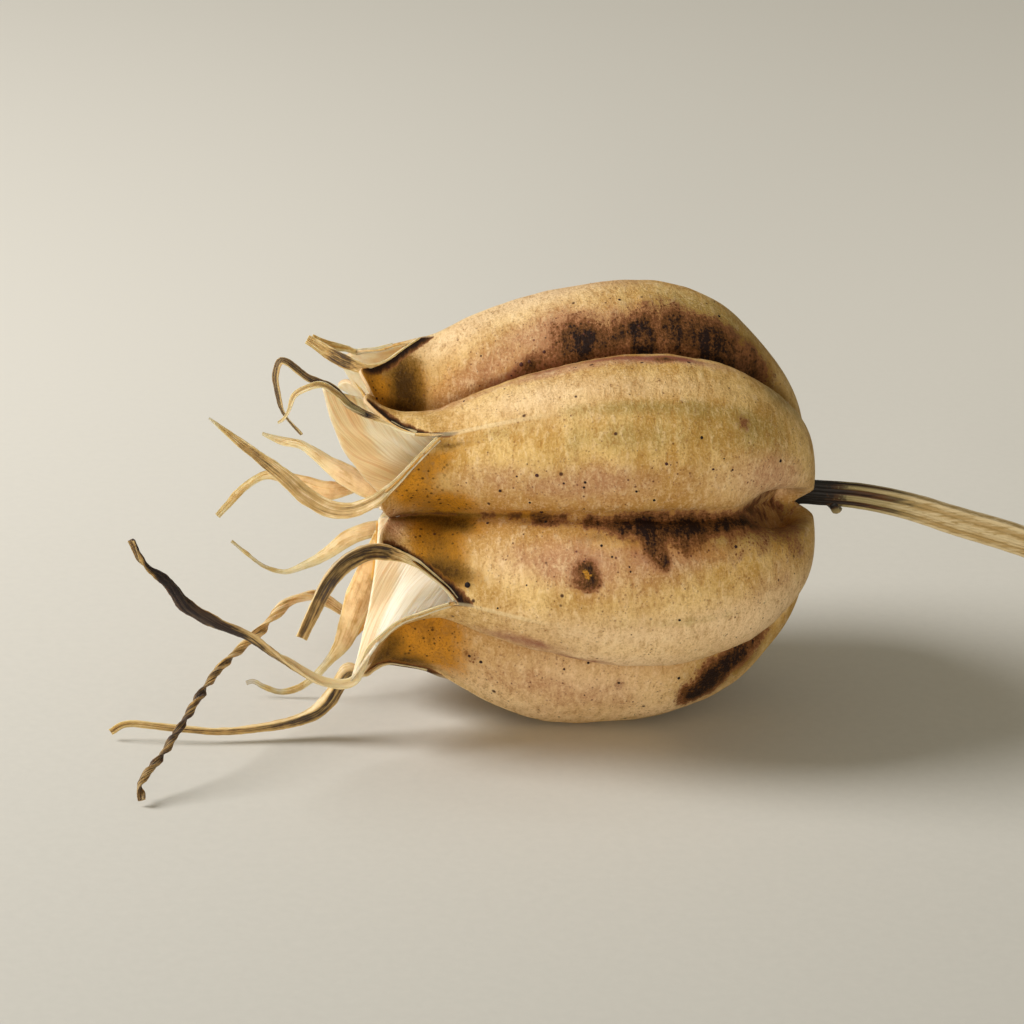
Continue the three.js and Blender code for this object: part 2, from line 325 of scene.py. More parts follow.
def fibres_group():
    """Fine lines that run along X of the given place, finer across it."""
    inputs = {"Place": ("Vector", None), "Lines": ("Float", 8.0), "Length": ("Float", 0.4)}
    board, given, sink = open_group("fibres", "ShaderNodeTree", inputs, {"Mask": "Float"})
    x, y, z = board.parts(given["Place"])
    drawn = board.vector(x * given["Length"], y * given["Lines"], z * given["Lines"])
    board.feed(sink.inputs["Mask"], board.noise(drawn, 1.0, 3.0, 0.6))
    return board.tree


def stain_group():
    """A stain's colours over a paper colour: a rim colour, then brown, then nearly black."""
    inputs = {
        "Paper": ("Color", (1, 1, 1)),
        "Rim": ("Color", (0.38, 0.19, 0.045)),
        "Amount": ("Float", 0.0),
    }
    board, given, sink = open_group("stain", "ShaderNodeTree", inputs, {"Color": "Color"})
    brown, black = (0.118, 0.047, 0.012), (0.016, 0.007, 0.005)
    colour = board.blend(board.rise(given["Amount"], 0.06, 0.42), given["Paper"], given["Rim"])
    colour = board.blend(board.rise(given["Amount"], 0.30, 0.68), colour, brown)
    colour = board.blend(board.rise(given["Amount"], 0.62, 1.0), colour, black)
    board.feed(sink.inputs["Color"], colour)
    return board.tree


EFFECTS = {
    "place": pod_place_group(),
    "specks": specks_group(),
    "fibres": fibres_group(),
    "stain": stain_group(),
}


def effect(board, name, feeds=None, output=0):
    """A shared effect placed on a board."""
    return board.get("ShaderNodeGroup", feeds, output, node_tree=EFFECTS[name])


print("shader groups", sorted(EFFECTS))

# %% [markdown]
# ## Finishes
# Each finish is a material with one Principled shader. Its colour comes from layers: a paper colour that
# wanders, tints that belong to places on the pod, stains, and specks on top. The places are attributes on
# the mesh, which the piece's own cell writes: how far a point is from a crest, from the torn edge, and how
# much of each tint it has.

# %% Material helpers
FINISH = {}


def open_material(name, roughness, **constants):
    """A material, its board and its shader."""
    made = bpy.data.materials.new(name)
    made.use_nodes = True
    shader = made.node_tree.nodes["Principled BSDF"]
    shader.inputs["Roughness"].default_value = roughness
    for label, value in constants.items():
        shader.inputs[label.replace("_", " ")].default_value = value
    return made, Board(made.node_tree), shader


def worn(board, name):
    """An attribute of the mesh."""
    return board.get("ShaderNodeAttribute", output="Fac", attribute_name=name)


def millimetres(board):
    """A point's place in the frame, in mm."""
    return effect(board, "place", output="Millimetres")


def dotted(board, spot, spacing, size, share):
    """Specks: how far apart and how wide in mm, and how many of them are kept."""
    return effect(board, "specks", {"Place": spot, "Spacing": spacing, "Size": size, "Share": share})


def bump(board, shader, height, distance):
    feeds = {"Height": height, "Distance": distance * MM, "Strength": 1.0}
    board.feed(shader.inputs["Normal"], board.get("ShaderNodeBump", feeds))


# Thin dry skin lets some light through: it goes in at one face and comes out at the other.
LIT_THROUGH = {
    "Subsurface_Weight": 0.7,
    "Subsurface_Radius": (1.0, 0.8, 0.6),
    "Subsurface_Scale": 0.5 * MM,
}
print("thin skins", LIT_THROUGH)

# %% [markdown]
# ## The papery wall
# The outside of the pod is dry, matt skin: straw and cream, with pale, rosy and olive fields, glassy amber
# at the neck, and stains that are nearly black. The tan towards the furrows and a dark line along their
# bottoms are painted shade, the umber and olive near the neck and the base are partly painted shade, and the
# pale fields are partly painted light. A painted picture could hold all this, but it would fit one pod only
# and blur on a close look. So each layer here is a colour and a mask.
# A mask is a soft mark that the mesh carries, with its edge roughened by noises of several sizes. One of
# them is drawn out round the lobes, as the fibres of the skin are.

# %% Patterns of the wall
Patterns = namedtuple("Patterns", "spot along wander cloud cloth grain streak")


def wall_patterns(board):
    """The noises that roughen every layer, from wide to fine."""
    spot = millimetres(board)
    along = effect(board, "place", output="Along")
    _, side, up = board.parts(effect(board, "place", output="Round"))
    _, deep, high = board.parts(spot)
    dabs = board.vector(along * 3.2, deep * 1.5, high * 1.5)
    streaks = board.vector(along * 1.3, side * 2.4, up * 2.4)
    return Patterns(
        spot,
        along,
        wander=board.noise(spot, 0.30, 4.0, 0.6),
        cloud=board.noise(spot, 0.8, 5.0, 0.7),
        cloth=board.noise(dabs, 1.0, 5.0, 0.7),
        grain=board.noise(spot, 7.0, 4.0, 0.7),
        streak=board.noise(streaks, 1.0, 5.0, 0.65),
    )


print("patterns", Patterns._fields)


# %% Paper, fields and dabs
def paper(board, on, phase):
    """Straw and cream that wander, and tan towards the furrows as painted shade."""
    straw, cream, tan = (0.54, 0.305, 0.072), (0.76, 0.51, 0.19), (0.43, 0.20, 0.05)
    colour = board.blend(board.rise(on.wander + swing(on.streak, 0.8), 0.38, 0.64), straw, cream)
    # Painted shade: the skin turns tan where a flank runs down into a furrow.
    return board.blend(board.rise(phase + swing(on.cloth, 0.7), 0.5, 1.05) * 0.8, colour, tan)


def fields(board, on, colour, rosy):
    """Pale, rosy and olive fields. Pale is partly painted light, and olive near the base partly painted
    shade.
    """
    pale, rose, olive = (0.87, 0.635, 0.39), (0.49, 0.255, 0.135), (0.36, 0.25, 0.07)
    colour = board.blend(worn(board, "pale") * 0.9, colour, pale)
    colour = board.blend(rosy * 0.85, colour, rose)
    greenish = board.rise(worn(board, "olive") + swing(on.streak, 0.9), 0.15, 0.85)
    return board.blend(greenish * 0.85, colour, olive)


def dabs_and_grain(board, on, colour, blush):
    """Light and dark dabs, a fine grain over them, and flecks."""
    light_dab, light_grain, fleck = (0.92, 0.70, 0.42), (0.92, 0.71, 0.40), (0.22, 0.085, 0.04)
    dust = board.blend(blush, (0.34, 0.155, 0.03), (0.33, 0.125, 0.06))
    colour = board.blend(board.rise(on.cloth, 0.5, 0.68) * 0.46, colour, light_dab)
    colour = board.blend((1 - board.rise(on.cloth, 0.32, 0.5)) * 0.52, colour, dust)
    patchy = board.rise(on.cloud + swing(on.streak, 0.5), 0.3, 0.7)
    colour = board.blend(board.rise(on.grain, 0.5, 0.64) * 0.26, colour, light_grain)
    colour = board.blend((1 - board.rise(on.grain, 0.38, 0.52)) * (0.10 + patchy * 0.32), colour, dust)
    flecks = dotted(board, on.spot, 0.19, 0.075, 0.5) * board.rise(on.cloud + blush * 0.2, 0.34, 0.6)
    return board.blend(flecks * 0.5, colour, fleck)


print("layers", [layer.__name__ for layer in (paper, fields, dabs_and_grain)])


# %% Amber, dark tints and stains
def resin(board, on, colour, amber):
    """Glassy amber with dark pits and pepper specks."""
    dark, bright = (0.36, 0.145, 0.006), (0.64, 0.27, 0.014)
    pit, pepper = (0.20, 0.08, 0.010), (0.05, 0.020, 0.004)
    glaze = board.blend(board.rise(on.cloud, 0.3, 0.7), dark, bright)
    glaze = board.blend((1 - board.rise(on.grain, 0.36, 0.52)) * 0.6, glaze, pit)
    colour = board.blend(amber * 0.92, colour, glaze)
    return board.blend(dotted(board, on.spot, 0.27, 0.10, 0.6) * amber * 0.85, colour, pepper)


def dark_tints(board, on, colour):
    """Umber, deeper in the middle of its marks, and wine red. Umber at the neck and base is partly painted
    shade.
    """
    umber, deep_umber, wine = (0.19, 0.09, 0.010), (0.048, 0.021, 0.003), (0.23, 0.055, 0.045)
    brown = worn(board, "umber") + swing(on.cloud, 0.7) + swing(on.cloth, 0.5) + swing(on.grain, 0.8)
    colour = board.blend(board.rise(brown, 0.12, 0.6) * 0.9, colour, umber)
    colour = board.blend(board.rise(brown, 0.5, 1.0) * 0.9, colour, deep_umber)
    red = board.rise(worn(board, "wine") + swing(on.cloud, 0.8) + swing(on.grain, 0.5), 0.15, 0.9)
    return board.blend(red * 0.85, colour, wine)


def stains_and_furrow_shade(board, on, phase, edge):
    """How black the skin is: ragged stains, painted shade in the furrows, and a scorched band at the torn
    edge.
    """
    soft = board.least(worn(board, "stain") * 1.25, 1.0)
    rough = swing(on.cloud, 1.3) + swing(on.streak, 1.5) + swing(on.cloth, 1.3) + swing(on.grain, 1.4)
    spray = dotted(board, on.spot, 0.21, 0.10, 0.6) * board.rise(soft, 0.05, 0.35)
    ragged = soft + rough * board.math("SQRT", soft) - 0.08 + spray * 0.25
    # Painted shade: a dark line along the bottom of each furrow, where the crease lies in shade.
    groove = board.rise(phase + swing(on.cloth, 0.1), 0.95, 1.0)
    groove = groove * board.rise(on.cloud + swing(on.streak, 0.6), 0.34, 0.62) * 0.7
    scorched = board.rise(edge, 0.08, 0.2) * (1 - board.rise(edge + swing(on.cloth, 0.9), 0.35, 1.15))
    scorched = scorched * worn(board, "scorch") * (1 - board.rise(phase, 0.6, 0.75))
    return board.most(board.most(ragged, groove), scorched)


def stained(board, on, colour, amber, amount):
    """The stains' colours, also over the painted shade in the furrows, and the ochre heart of one scar."""
    rim, amber_rim, ochre = (0.25, 0.10, 0.04), (0.22, 0.09, 0.010), (0.50, 0.23, 0.025)
    feeds = {"Paper": colour, "Rim": board.blend(amber, rim, amber_rim), "Amount": amount}
    heart = board.rise(worn(board, "ember") + swing(on.grain, 1.8), 0.35, 0.7)
    return board.blend(heart, effect(board, "stain", feeds), ochre)


print("layers", [layer.__name__ for layer in (resin, dark_tints, stains_and_furrow_shade, stained)])


# %% The wall's finish
def crest_specks_and_lip(board, on, colour, phase, edge, blush, rosy):
    """A pale line on each crest, dark pricks and dots, and a pale lip where the wall is torn."""
    crest, prick, lip = (0.88, 0.72, 0.44), (0.055, 0.018, 0.012), (0.78, 0.58, 0.35)
    near_crest = (1 - board.rise(phase, 0.012, 0.035)) * board.rise(on.along, 14.5, 19.0)
    colour = board.blend(near_crest * 0.4, colour, crest)
    colour = board.blend(dotted(board, on.spot, 0.95, 0.15, 0.3) * 0.92, colour, prick)
    dots = dotted(board, on.spot, 0.34, 0.075, 0.5) * board.rise(on.cloud + rosy * 0.25, 0.42, 0.62)
    dusk = board.blend(blush, (0.15, 0.06, 0.02), (0.11, 0.03, 0.03))
    colour = board.blend(dots * 0.9, colour, dusk)
    return board.blend(1 - board.rise(edge, 0.02, 0.10), colour, lip)


def papery_wall():
    made, board, shader = open_material("papery_wall", 0.5, Specular_IOR_Level=0.09)
    on = wall_patterns(board)
    phase, edge, blush = worn(board, "phase"), worn(board, "edge"), worn(board, "blush")
    rosy = board.rise(blush + swing(on.cloud, 0.9), 0.1, 0.9)
    amber = board.rise(worn(board, "amber") + swing(on.cloud, 0.5) + swing(on.grain, 0.3), 0.15, 0.8)
    amount = stains_and_furrow_shade(board, on, phase, edge)
    colour = fields(board, on, paper(board, on, phase), rosy)
    colour = dabs_and_grain(board, on, colour, blush)
    colour = dark_tints(board, on, resin(board, on, colour, amber))
    colour = stained(board, on, colour, amber, amount)
    colour = crest_specks_and_lip(board, on, colour, phase, edge, blush, rosy)
    board.feed(shader.inputs["Base Color"], colour)
    shine = board.most(amber, board.least(board.most(amount, 0.0), 1.0))
    board.feed(shader.inputs["Roughness"], 0.56 - shine * 0.12 + swing(on.grain, 0.2))
    bump(board, shader, on.grain * 1.1 + on.cloth * 1.1 + on.streak * 0.5, 0.08)
    return made


FINISH["wall"] = papery_wall()
print("wall finish", len(FINISH["wall"].node_tree.nodes), "nodes")

# %% [markdown]
# ## Thin, pale skins
# The inside of the wall and the partitions never saw the sun, so they are pale, and thin enough to glow when
# light falls on the other side. Glass-like transparency would be wrong for them, because they scatter the
# light, so the shader's subsurface does it. Fine fibres give them their silk: straight ones on the lining,
# and curved ones that fan out on the partitions.

# %% Lining and partitions
def lining():
    """The inner face of the wall: smooth and pale."""
    made, board, shader = open_material("wall_lining", 0.42, **LIT_THROUGH)
    spot = millimetres(board)
    cloth = board.noise(spot, 0.8, 4.0, 0.6)
    lines = effect(board, "fibres", {"Place": spot, "Lines": 3.0, "Length": 0.4})
    buff, cream, tan = (0.78, 0.58, 0.32), (0.92, 0.80, 0.60), (0.62, 0.40, 0.17)
    colour = board.blend(board.rise(cloth, 0.35, 0.7), buff, cream)
    colour = board.blend(board.rise(lines, 0.5, 0.75) * 0.3, colour, tan)
    board.feed(shader.inputs["Base Color"], colour)
    bump(board, shader, lines + cloth, 0.05)
    return made


def membrane():
    """The partitions: whitish skins with fine curved lines and a thick, warmer hem."""
    made, board, shader = open_material("membrane", 0.42, **LIT_THROUGH)
    run, reach, warm = worn(board, "run"), worn(board, "reach"), worn(board, "warm")
    cloth = board.noise(millimetres(board), 0.7, 4.0, 0.6)
    curved = board.vector(reach * 3, (run + reach * reach * 0.3) * 30, 0.0)
    lines = effect(board, "fibres", {"Place": curved, "Lines": 2.4, "Length": 0.7})
    white, cream, tan, amber = (0.90, 0.81, 0.66), (0.74, 0.59, 0.41), (0.70, 0.43, 0.19), (0.66, 0.36, 0.08)
    colour = board.blend(board.rise(lines, 0.42, 0.64) * 0.75, white, cream)
    colour = board.blend(board.rise(reach + swing(cloth, 0.5), 0.4, 1.0) * 0.6, colour, tan)
    hem = board.blend(board.rise(lines, 0.4, 0.7), (0.88, 0.69, 0.47), (0.76, 0.52, 0.30))
    colour = board.blend(board.rise(run + swing(cloth, 0.03), 0.85, 0.90), colour, hem)
    colour = board.blend(board.rise(warm * (0.4 + cloth * 1.2), 0.15, 0.7), colour, amber)
    board.feed(shader.inputs["Base Color"], colour)
    bump(board, shader, lines, 0.07)
    return made


FINISH["lining"] = lining()
FINISH["membrane"] = membrane()
print("thin skins", FINISH["lining"].name, FINISH["membrane"].name)

# %% [markdown]
# ## Dry styles
# A style dries to a strap of fibres, pale where it is thick and black where it died first, with dark slits
# between the fibres. Each strap carries a tone from root to tip, and one value, the shade, adds the slits
# to it. The colours are steps up that one value, so a strap can go from straw to black along its length.

# %% Dry styles
def dry_style():
    made, board, shader = open_material("dry_style", 0.52, Specular_IOR_Level=0.35, **LIT_THROUGH)
    spot = millimetres(board)
    run, across, tone = worn(board, "run"), worn(board, "across"), worn(board, "tone")
    drawn = board.vector(run * 9, across * 2.6, tone * 3)
    lines = effect(board, "fibres", {"Place": drawn, "Lines": 1.6, "Length": 0.5})
    cloth = board.noise(spot, 1.3, 4.0, 0.6)
    grain = board.noise(spot, 6.0, 3.0, 0.7)
    pale, straw, olive = (0.80, 0.64, 0.40), (0.50, 0.34, 0.13), (0.17, 0.105, 0.036)
    shade = tone + swing(lines, 1.9) + swing(cloth, 0.7) + worn(board, "face") * worn(board, "split")
    colour = board.blend(board.rise(shade, 0.05, 0.45), pale, straw)
    amber = board.blend(board.rise(cloth, 0.35, 0.65), (0.80, 0.52, 0.22), (0.52, 0.26, 0.045))
    colour = board.blend(worn(board, "warm"), colour, amber)
    colour = board.blend(board.rise(shade, 0.42, 0.85), colour, olive)
    dead = board.blend(board.rise(lines, 0.45, 0.65), (0.016, 0.009, 0.010), (0.075, 0.048, 0.032))
    colour = board.blend(board.rise(shade, 0.76, 1.0), colour, dead)
    # Painted highlight: a pale band along both edges of the paler straps, where a rim catches the light.
    rim = board.rise(board.math("ABSOLUTE", across), 0.88, 0.98) * (1 - board.rise(tone, 0.6, 0.9))
    colour = board.blend(rim * 0.6, colour, (0.74, 0.57, 0.33))
    board.feed(shader.inputs["Base Color"], colour)
    board.feed(shader.inputs["Roughness"], 0.42 + grain * 0.25)
    bump(board, shader, lines + grain * 0.25, 0.12)
    return made


FINISH["style"] = dry_style()
print("style finish", len(FINISH["style"].node_tree.nodes), "nodes")

# %% [markdown]
# ## Stem, scabs and table
# The stem is straw with black lines between its ribs near the pod, and black where it enters the pod. The
# section that is swept along it carries how deep each point lies between two ribs, so the ink can follow
# the valleys. The scabs are plain dark crusts, and the table is a pale, slightly warm surface whose colour
# is painted darker towards the front, a painted falloff of the lamp's light.

# %% Stem, scabs and table
def stalk():
    made, board, shader = open_material("stalk", 0.5, Specular_IOR_Level=0.35)
    spot = millimetres(board)
    run, rib = worn(board, "run"), worn(board, "rib")
    lines = effect(board, "fibres", {"Place": spot, "Lines": 6.0, "Length": 0.25})
    cloth = board.noise(spot, 1.1, 4.0, 0.6)
    grain = board.noise(spot, 5.0, 3.0, 0.7)
    straw, shaded, olive = (0.71, 0.565, 0.33), (0.44, 0.295, 0.115), (0.27, 0.215, 0.09)
    rim, black = (0.12, 0.09, 0.04), (0.008, 0.006, 0.005)
    colour = board.blend(board.rise(rib * 0.7 + swing(lines, 2.2), 0.0, 0.75), straw, shaded)
    greenish = 1 - board.rise(run + swing(cloth, 0.06), 0.10, 0.27)
    colour = board.blend(greenish * 0.85, colour, olive)
    root = 1 - board.rise(run + swing(grain, 0.05), 0.060, 0.120)
    inked = board.rise(rib, 0.4, 0.85) * (1 - board.rise(run + swing(lines, 0.16), 0.10, 0.27))
    amount = board.most(root - board.rise(grain, 0.55, 0.7) * 0.35, inked * 0.95)
    colour = effect(board, "stain", {"Paper": colour, "Rim": rim, "Amount": amount})
    board.feed(shader.inputs["Base Color"], board.blend(root * 0.8, colour, black))
    bump(board, shader, lines + cloth * 0.5, 0.06)
    return made


def scab():
    made, board, shader = open_material("scab", 0.6, Specular_IOR_Level=0.2)
    draw = board.noise(millimetres(board), 0.9, 1.0)
    black, brown = (0.010, 0.005, 0.004), (0.06, 0.02, 0.016)
    board.feed(shader.inputs["Base Color"], board.blend(board.rise(draw, 0.4, 0.65), black, brown))
    return made


def table_top():
    made, board, shader = open_material("table_top", 0.75)
    spot = millimetres(board)
    _, deep, _ = board.parts(spot)
    # Painted light falloff: the table's colour goes from darker at the front to paler at the back.
    painted_falloff = board.rise(deep + swing(board.noise(spot, 1.6, 3.0, 0.6), 30), -90.0, 80.0)
    front, back = (0.53, 0.52, 0.475), (0.73, 0.71, 0.65)
    board.feed(shader.inputs["Base Color"], board.blend(painted_falloff, front, back))
    return made


FINISH["stem"] = stalk()
FINISH["scab"] = scab()
FINISH["floor"] = table_top()
print("finishes", sorted(FINISH))

# %% [markdown]
# ## Turning a tree into a mesh
# A Geometry Nodes tree is only a rule until it is evaluated. These helpers hang a tree on an object, set
# its named inputs, and keep the evaluated result as a plain mesh, so the finished piece carries no modifier.
# The trees share some steps too: reading and keeping attributes, a push along the normals, a table that
# nothing sinks into, and an end that leaves smooth, plain geometry with one material.

# %% Mesh helpers
def new_piece(name, mesh):
    piece = bpy.data.objects.new(name, mesh)
    bpy.context.scene.collection.objects.link(piece)
    return piece


def mesh_of(points, edges=(), faces=()):
    made = bpy.data.meshes.new("draft")
    made.from_pydata([tuple(p) for p in points], list(edges), list(faces))
    return made


def grid_faces(rows, columns):
    """Four-sided faces between points that were made row by row."""
    corners = (0, 1, columns + 1, columns)
    starts = [i * columns + j for i in range(rows - 1) for j in range(columns - 1)]
    return [tuple(start + corner for corner in corners) for start in starts]


def write_attribute(mesh, name, values, sort="FLOAT"):
    values = np.asarray(values, np.float32)
    layer = mesh.attributes.get(name) or mesh.attributes.new(name, sort, "POINT")
    layer.data.foreach_set("vector" if sort == "FLOAT_VECTOR" else "value", values.ravel())


def read_attribute(mesh, name):
    values = np.zeros(len(mesh.vertices), np.float32)
    mesh.attributes[name].data.foreach_get("value", values)
    return values


def read_points(mesh):
    values = np.zeros(len(mesh.vertices) * 3, np.float32)
    mesh.vertices.foreach_get("co", values)
    return values.reshape(-1, 3).astype(float)


print("one square has", len(grid_faces(2, 2)), "face")


# %% Evaluating a tree
def evaluated(piece):
    """A plain mesh of a piece with its modifiers worked out."""
    graph = bpy.context.evaluated_depsgraph_get()
    result = piece.evaluated_get(graph)
    return bpy.data.meshes.new_from_object(result, preserve_all_data_layers=True, depsgraph=graph)


def grow(name, mesh, tree, **values):
    """A plain mesh from a tree, its own starting mesh and its named inputs."""
    seedling = new_piece(name + "_seedling", mesh)
    modifier = seedling.modifiers.new("tree", "NODES")
    modifier.node_group = tree
    sockets = {s.name: s.identifier for s in tree.interface.items_tree if s.in_out == "INPUT"}
    for label, value in values.items():
        modifier[sockets[label.replace("_", " ")]] = value
    made = evaluated(seedling)
    made.name = name
    bpy.data.objects.remove(seedling)
    return made


def finish_with(piece, kind, **settings):
    """Applies one modifier to a piece."""
    modifier = piece.modifiers.new(kind.lower(), kind)
    for label, value in settings.items():
        setattr(modifier, label, value)
    made = evaluated(piece)
    piece.modifiers.remove(modifier)
    piece.data = made


print("trees become meshes by", grow.__name__, "and modifiers by", finish_with.__name__)


# %% Steps that the trees share
def named(board, word, sort="FLOAT"):
    """An attribute of the points that a tree works on."""
    return board.get("GeometryNodeInputNamedAttribute", {"Name": word}, data_type=sort)


def keep(board, geometry, **values):
    """Stores values on the points under their names."""
    for word, value in values.items():
        feeds = {"Geometry": geometry, "Name": word, "Value": value}
        geometry = board.get("GeometryNodeStoreNamedAttribute", feeds, data_type="FLOAT", domain="POINT")
    return geometry


def spot_in_mm(board):
    return board.stretch(board.get("GeometryNodeInputPosition"), 1 / MM)


def push_out(board, geometry, height):
    """Moves points along their normals by a height in mm."""
    offset = board.stretch(board.get("GeometryNodeInputNormal"), height * MM)
    return board.get("GeometryNodeSetPosition", {"Geometry": geometry, "Offset": offset})


def rest_on_table(board, geometry):
    """Lifts points that lie below the table up to it."""
    x, y, z = board.parts(board.get("GeometryNodeInputPosition"))
    resting = board.vector(x, y, board.most(z, 0.0))
    return board.get("GeometryNodeSetPosition", {"Geometry": geometry, "Position": resting})


def end_tree(board, geometry, material, socket):
    """Smooth faces, no instances and one material, fed to the tree's output."""
    geometry = board.get("GeometryNodeSetShadeSmooth", {"Geometry": geometry, "Shade Smooth": True})
    geometry = board.get("GeometryNodeRealizeInstances", {"Geometry": geometry})
    geometry = board.get("GeometryNodeSetMaterial", {"Geometry": geometry, "Material": material})
    board.feed(socket, geometry)
    return board.tree


print("shared steps", [step.__name__ for step in (named, keep, push_out, rest_on_table, end_tree)])

# %% [markdown]
# ## Curves through points
# The profile of a lobe, the styles and the stem are all curves through a few chosen points. A Catmull-Rom
# curve passes through every point. Its centripetal form, with a power of one half, never loops between
# points that lie close together, so it suits the curled styles. A power of 0 gives the plain form.

# %% Curves through points
STEPS_PER_SPAN = 60
LEAST_GAP = 1e-6


def smooth_line(points, steps, power=0.5):
    """Evenly spaced points on a Catmull-Rom curve."""
    p = np.asarray(points, float)
    before, after = (2 * p[0] - p[1], 2 * p[-1] - p[-2]) if power else (p[0], p[-1])
    p = np.vstack([before, p, after])
    fine = []
    for i in range(1, len(p) - 2):
        knots = [0.0]
        for j in range(3):
            gap = np.linalg.norm(p[i + j] - p[i + j - 1]) ** power
            knots.append(knots[-1] + max(gap, LEAST_GAP))
        t = np.linspace(knots[1], knots[2], STEPS_PER_SPAN, endpoint=False)[:, None]

        def between(a, b, ta, tb):
            return (tb - t) / (tb - ta) * a + (t - ta) / (tb - ta) * b

        a1 = between(p[i - 1], p[i], knots[0], knots[1])
        a2 = between(p[i], p[i + 1], knots[1], knots[2])
        a3 = between(p[i + 1], p[i + 2], knots[2], knots[3])
        b1 = between(a1, a2, knots[0], knots[2])
        b2 = between(a2, a3, knots[1], knots[3])
        fine.append(between(b1, b2, knots[1], knots[2]))
    fine = np.vstack(fine + [p[-2]])
    length = np.concatenate([[0], np.cumsum(np.linalg.norm(np.diff(fine, axis=0), axis=1))])
    wanted = np.linspace(0, length[-1], steps + 1)
    return np.stack([np.interp(wanted, length, column) for column in fine.T], axis=1)


def chain(points):
    """Edges that join points in a row."""
    return [(i, i + 1) for i in range(len(points) - 1)]


print("a line of", len(smooth_line([(0, 0), (1, 1), (2, 0)], 8)), "points")

# %% [markdown]
# ## The capsule wall
# On the plant this is six carpels joined side by side and blown up like a balloon, with a furrow at each
# join. A lathe would give the balloon and a boolean could cut the furrows, but the lobes differ, and the
# wall has to end in a torn edge. A grid that a Geometry Nodes tree bends is better: one side of the grid
# runs round the lobes, the other from the stem to the mouth, so every point knows its lobe, its distance
# from the crest and its distance from the torn edge, and the finish can use all three. The tree's own mesh
# is a table of one point for each lobe, and the profile along a crest is a curve object that it samples.

# %% Measures of the wall
# The profile of a crest is (distance from the base, radius), and a furrow (distance, share of that radius).
CREST = [
    (1.2, 0), (0.8, 0.9), (0.25, 2.4), (0, 4.3), (0.55, 6.4), (2, 8.6), (4.7, 11.2), (8, 12.45), (11, 12.6),
    (14.5, 12.15), (18, 11), (20.5, 9.8), (21.5, 9.35), (23, 9), (24.5, 8.6), (26.5, 8.6),
]
FURROW = [
    (-1, 0.62), (0, 0.66), (2, 0.76), (5, 0.8), (9, 0.8), (12, 0.79), (14, 0.76), (17.7, 0.735), (19.5, 0.7),
    (20.7, 0.65), (21.7, 0.585), (22.6, 0.57), (23.5, 0.62), (24.5, 0.74), (25.5, 0.86), (27, 0.9),
]
# A lobe has the angle of its crest, how far it swells and leans, where its crest is split down to, how the
# edges of the split bow, how far the mouth reaches, how the rim flares and swings, how full the shoulder at
# the stem is, and how scorched the edges are. Before and after are the two sides of the crest.
LOBE_WORDS = (
    "angle", "swell", "lean", "notch", "gape_before", "gape_after", "mouth", "flare", "swing", "shoulder",
    "scorch_before", "scorch_after",
)
LOBES = [
    (-124, 0.076, 0.02, 21.4, 0.8, 0.8, 24.8, 1.2, 3, 0, 0.6, 0.7),
    (-68, 0, 0.06, 21.2, 0.8, 0.7, 26, 2.2, -10, 0, 0.5, 0.8),
    (-14, 0, 0, 20.9, 0.9, 1.25, 25.1, -0.2, -2, 0.5, 0.12, 1.0),
    (44, 0, 0, 21.6, 0.9, 0.38, 25.7, 0.6, 0, 0.75, 0.15, 1.0),
    (101, 0, 0, 21.8, 1.1, 0.35, 26, 0.8, 4, -0.1, 0.95, 0.3),
    (168, 0.01, 0, 21.4, 0.8, 0.8, 23.8, 0.5, -3, 0, 0.6, 0.7),
]
PER_LOBE = 44
ROWS = 140
ROW_POWER = 0.92
WALL_THICK = 0.2
PROFILE_STEPS = 400
MOUTH_FROM, MOUTH_TO = 19.5, 26.4
BELLY_LONG = 21.5
OPENS_FROM, OPENS_TO = 21.0, 26.5
# The torn edge reaches furthest at this share of the way from a crest to a furrow, and dips in the furrow.
HORN_AT = 0.65
FURROW_DIP = 0.7
FURROW_POWER = 2.1
FLARE_POWER = 0.7
SHOULDER_FADES = (0.0, 6.5)
SHOULDER_RADII = (3.0, 8.5)


def place(s, y, z):
    """A point in metres from the capsule's own measures."""
    return Vector((BASE_X - s, AXIS_Y + y, AXIS_Z + z)) * MM


PROFILE = smooth_line(CREST, PROFILE_STEPS, power=0)
SHARES = np.linspace(0, 1, PROFILE_STEPS + 1)
LATER_HALF = slice(PROFILE_STEPS // 2, None)
SHARE_FROM, SHARE_TO = np.interp([MOUTH_FROM, MOUTH_TO], PROFILE[LATER_HALF, 0], SHARES[LATER_HALF])
print("crest profile, mm", round(float(np.linalg.norm(np.diff(PROFILE, axis=0), axis=1).sum()), 1))

# %% [markdown]
# ## Bending the grid
# The tree first finds which lobe a point belongs to, and its phase: 0 on a crest and 1 in a furrow. The torn
# edge then says how far the point's row runs along the profile, the profile gives a radius, and the furrow,
# the belly, the flare and the shoulder change it. Last, a relief of soft lumps, ripples and creases keeps
# the skin from looking turned on a lathe.

# %% The profile and the relief
# Distances in mm from the base, or from the axis, over which an effect grows or fades.
BODY_GROWS = (0.5, 4.0)
RIDGE_GROWS = (9.0, 17.0)
CREASE_FADES = (18.0, 21.0)
BASE_CREASE_FADES = (1.0, 6.0)
CLEAR_OF_STEM = (0.9, 2.3)
LIP_WIDE = 0.8


def read_profile(board, given, share):
    """Distance from the base, radius of the crest and depth of the furrow, at a share of the profile."""
    profile = board.get("GeometryNodeObjectInfo", {"Object": given["Profile"]}, "Geometry")
    profile = board.get("GeometryNodeMeshToCurve", {"Mesh": profile})
    feeds = {"Curves": profile, "Value": named(board, "furrow"), "Factor": share}
    sample = board.add("GeometryNodeSampleCurve", feeds, data_type="FLOAT", mode="FACTOR")
    s, crest, _ = board.parts(Wire(board, sample.outputs["Position"]))
    return s, crest, Wire(board, sample.outputs["Value"])


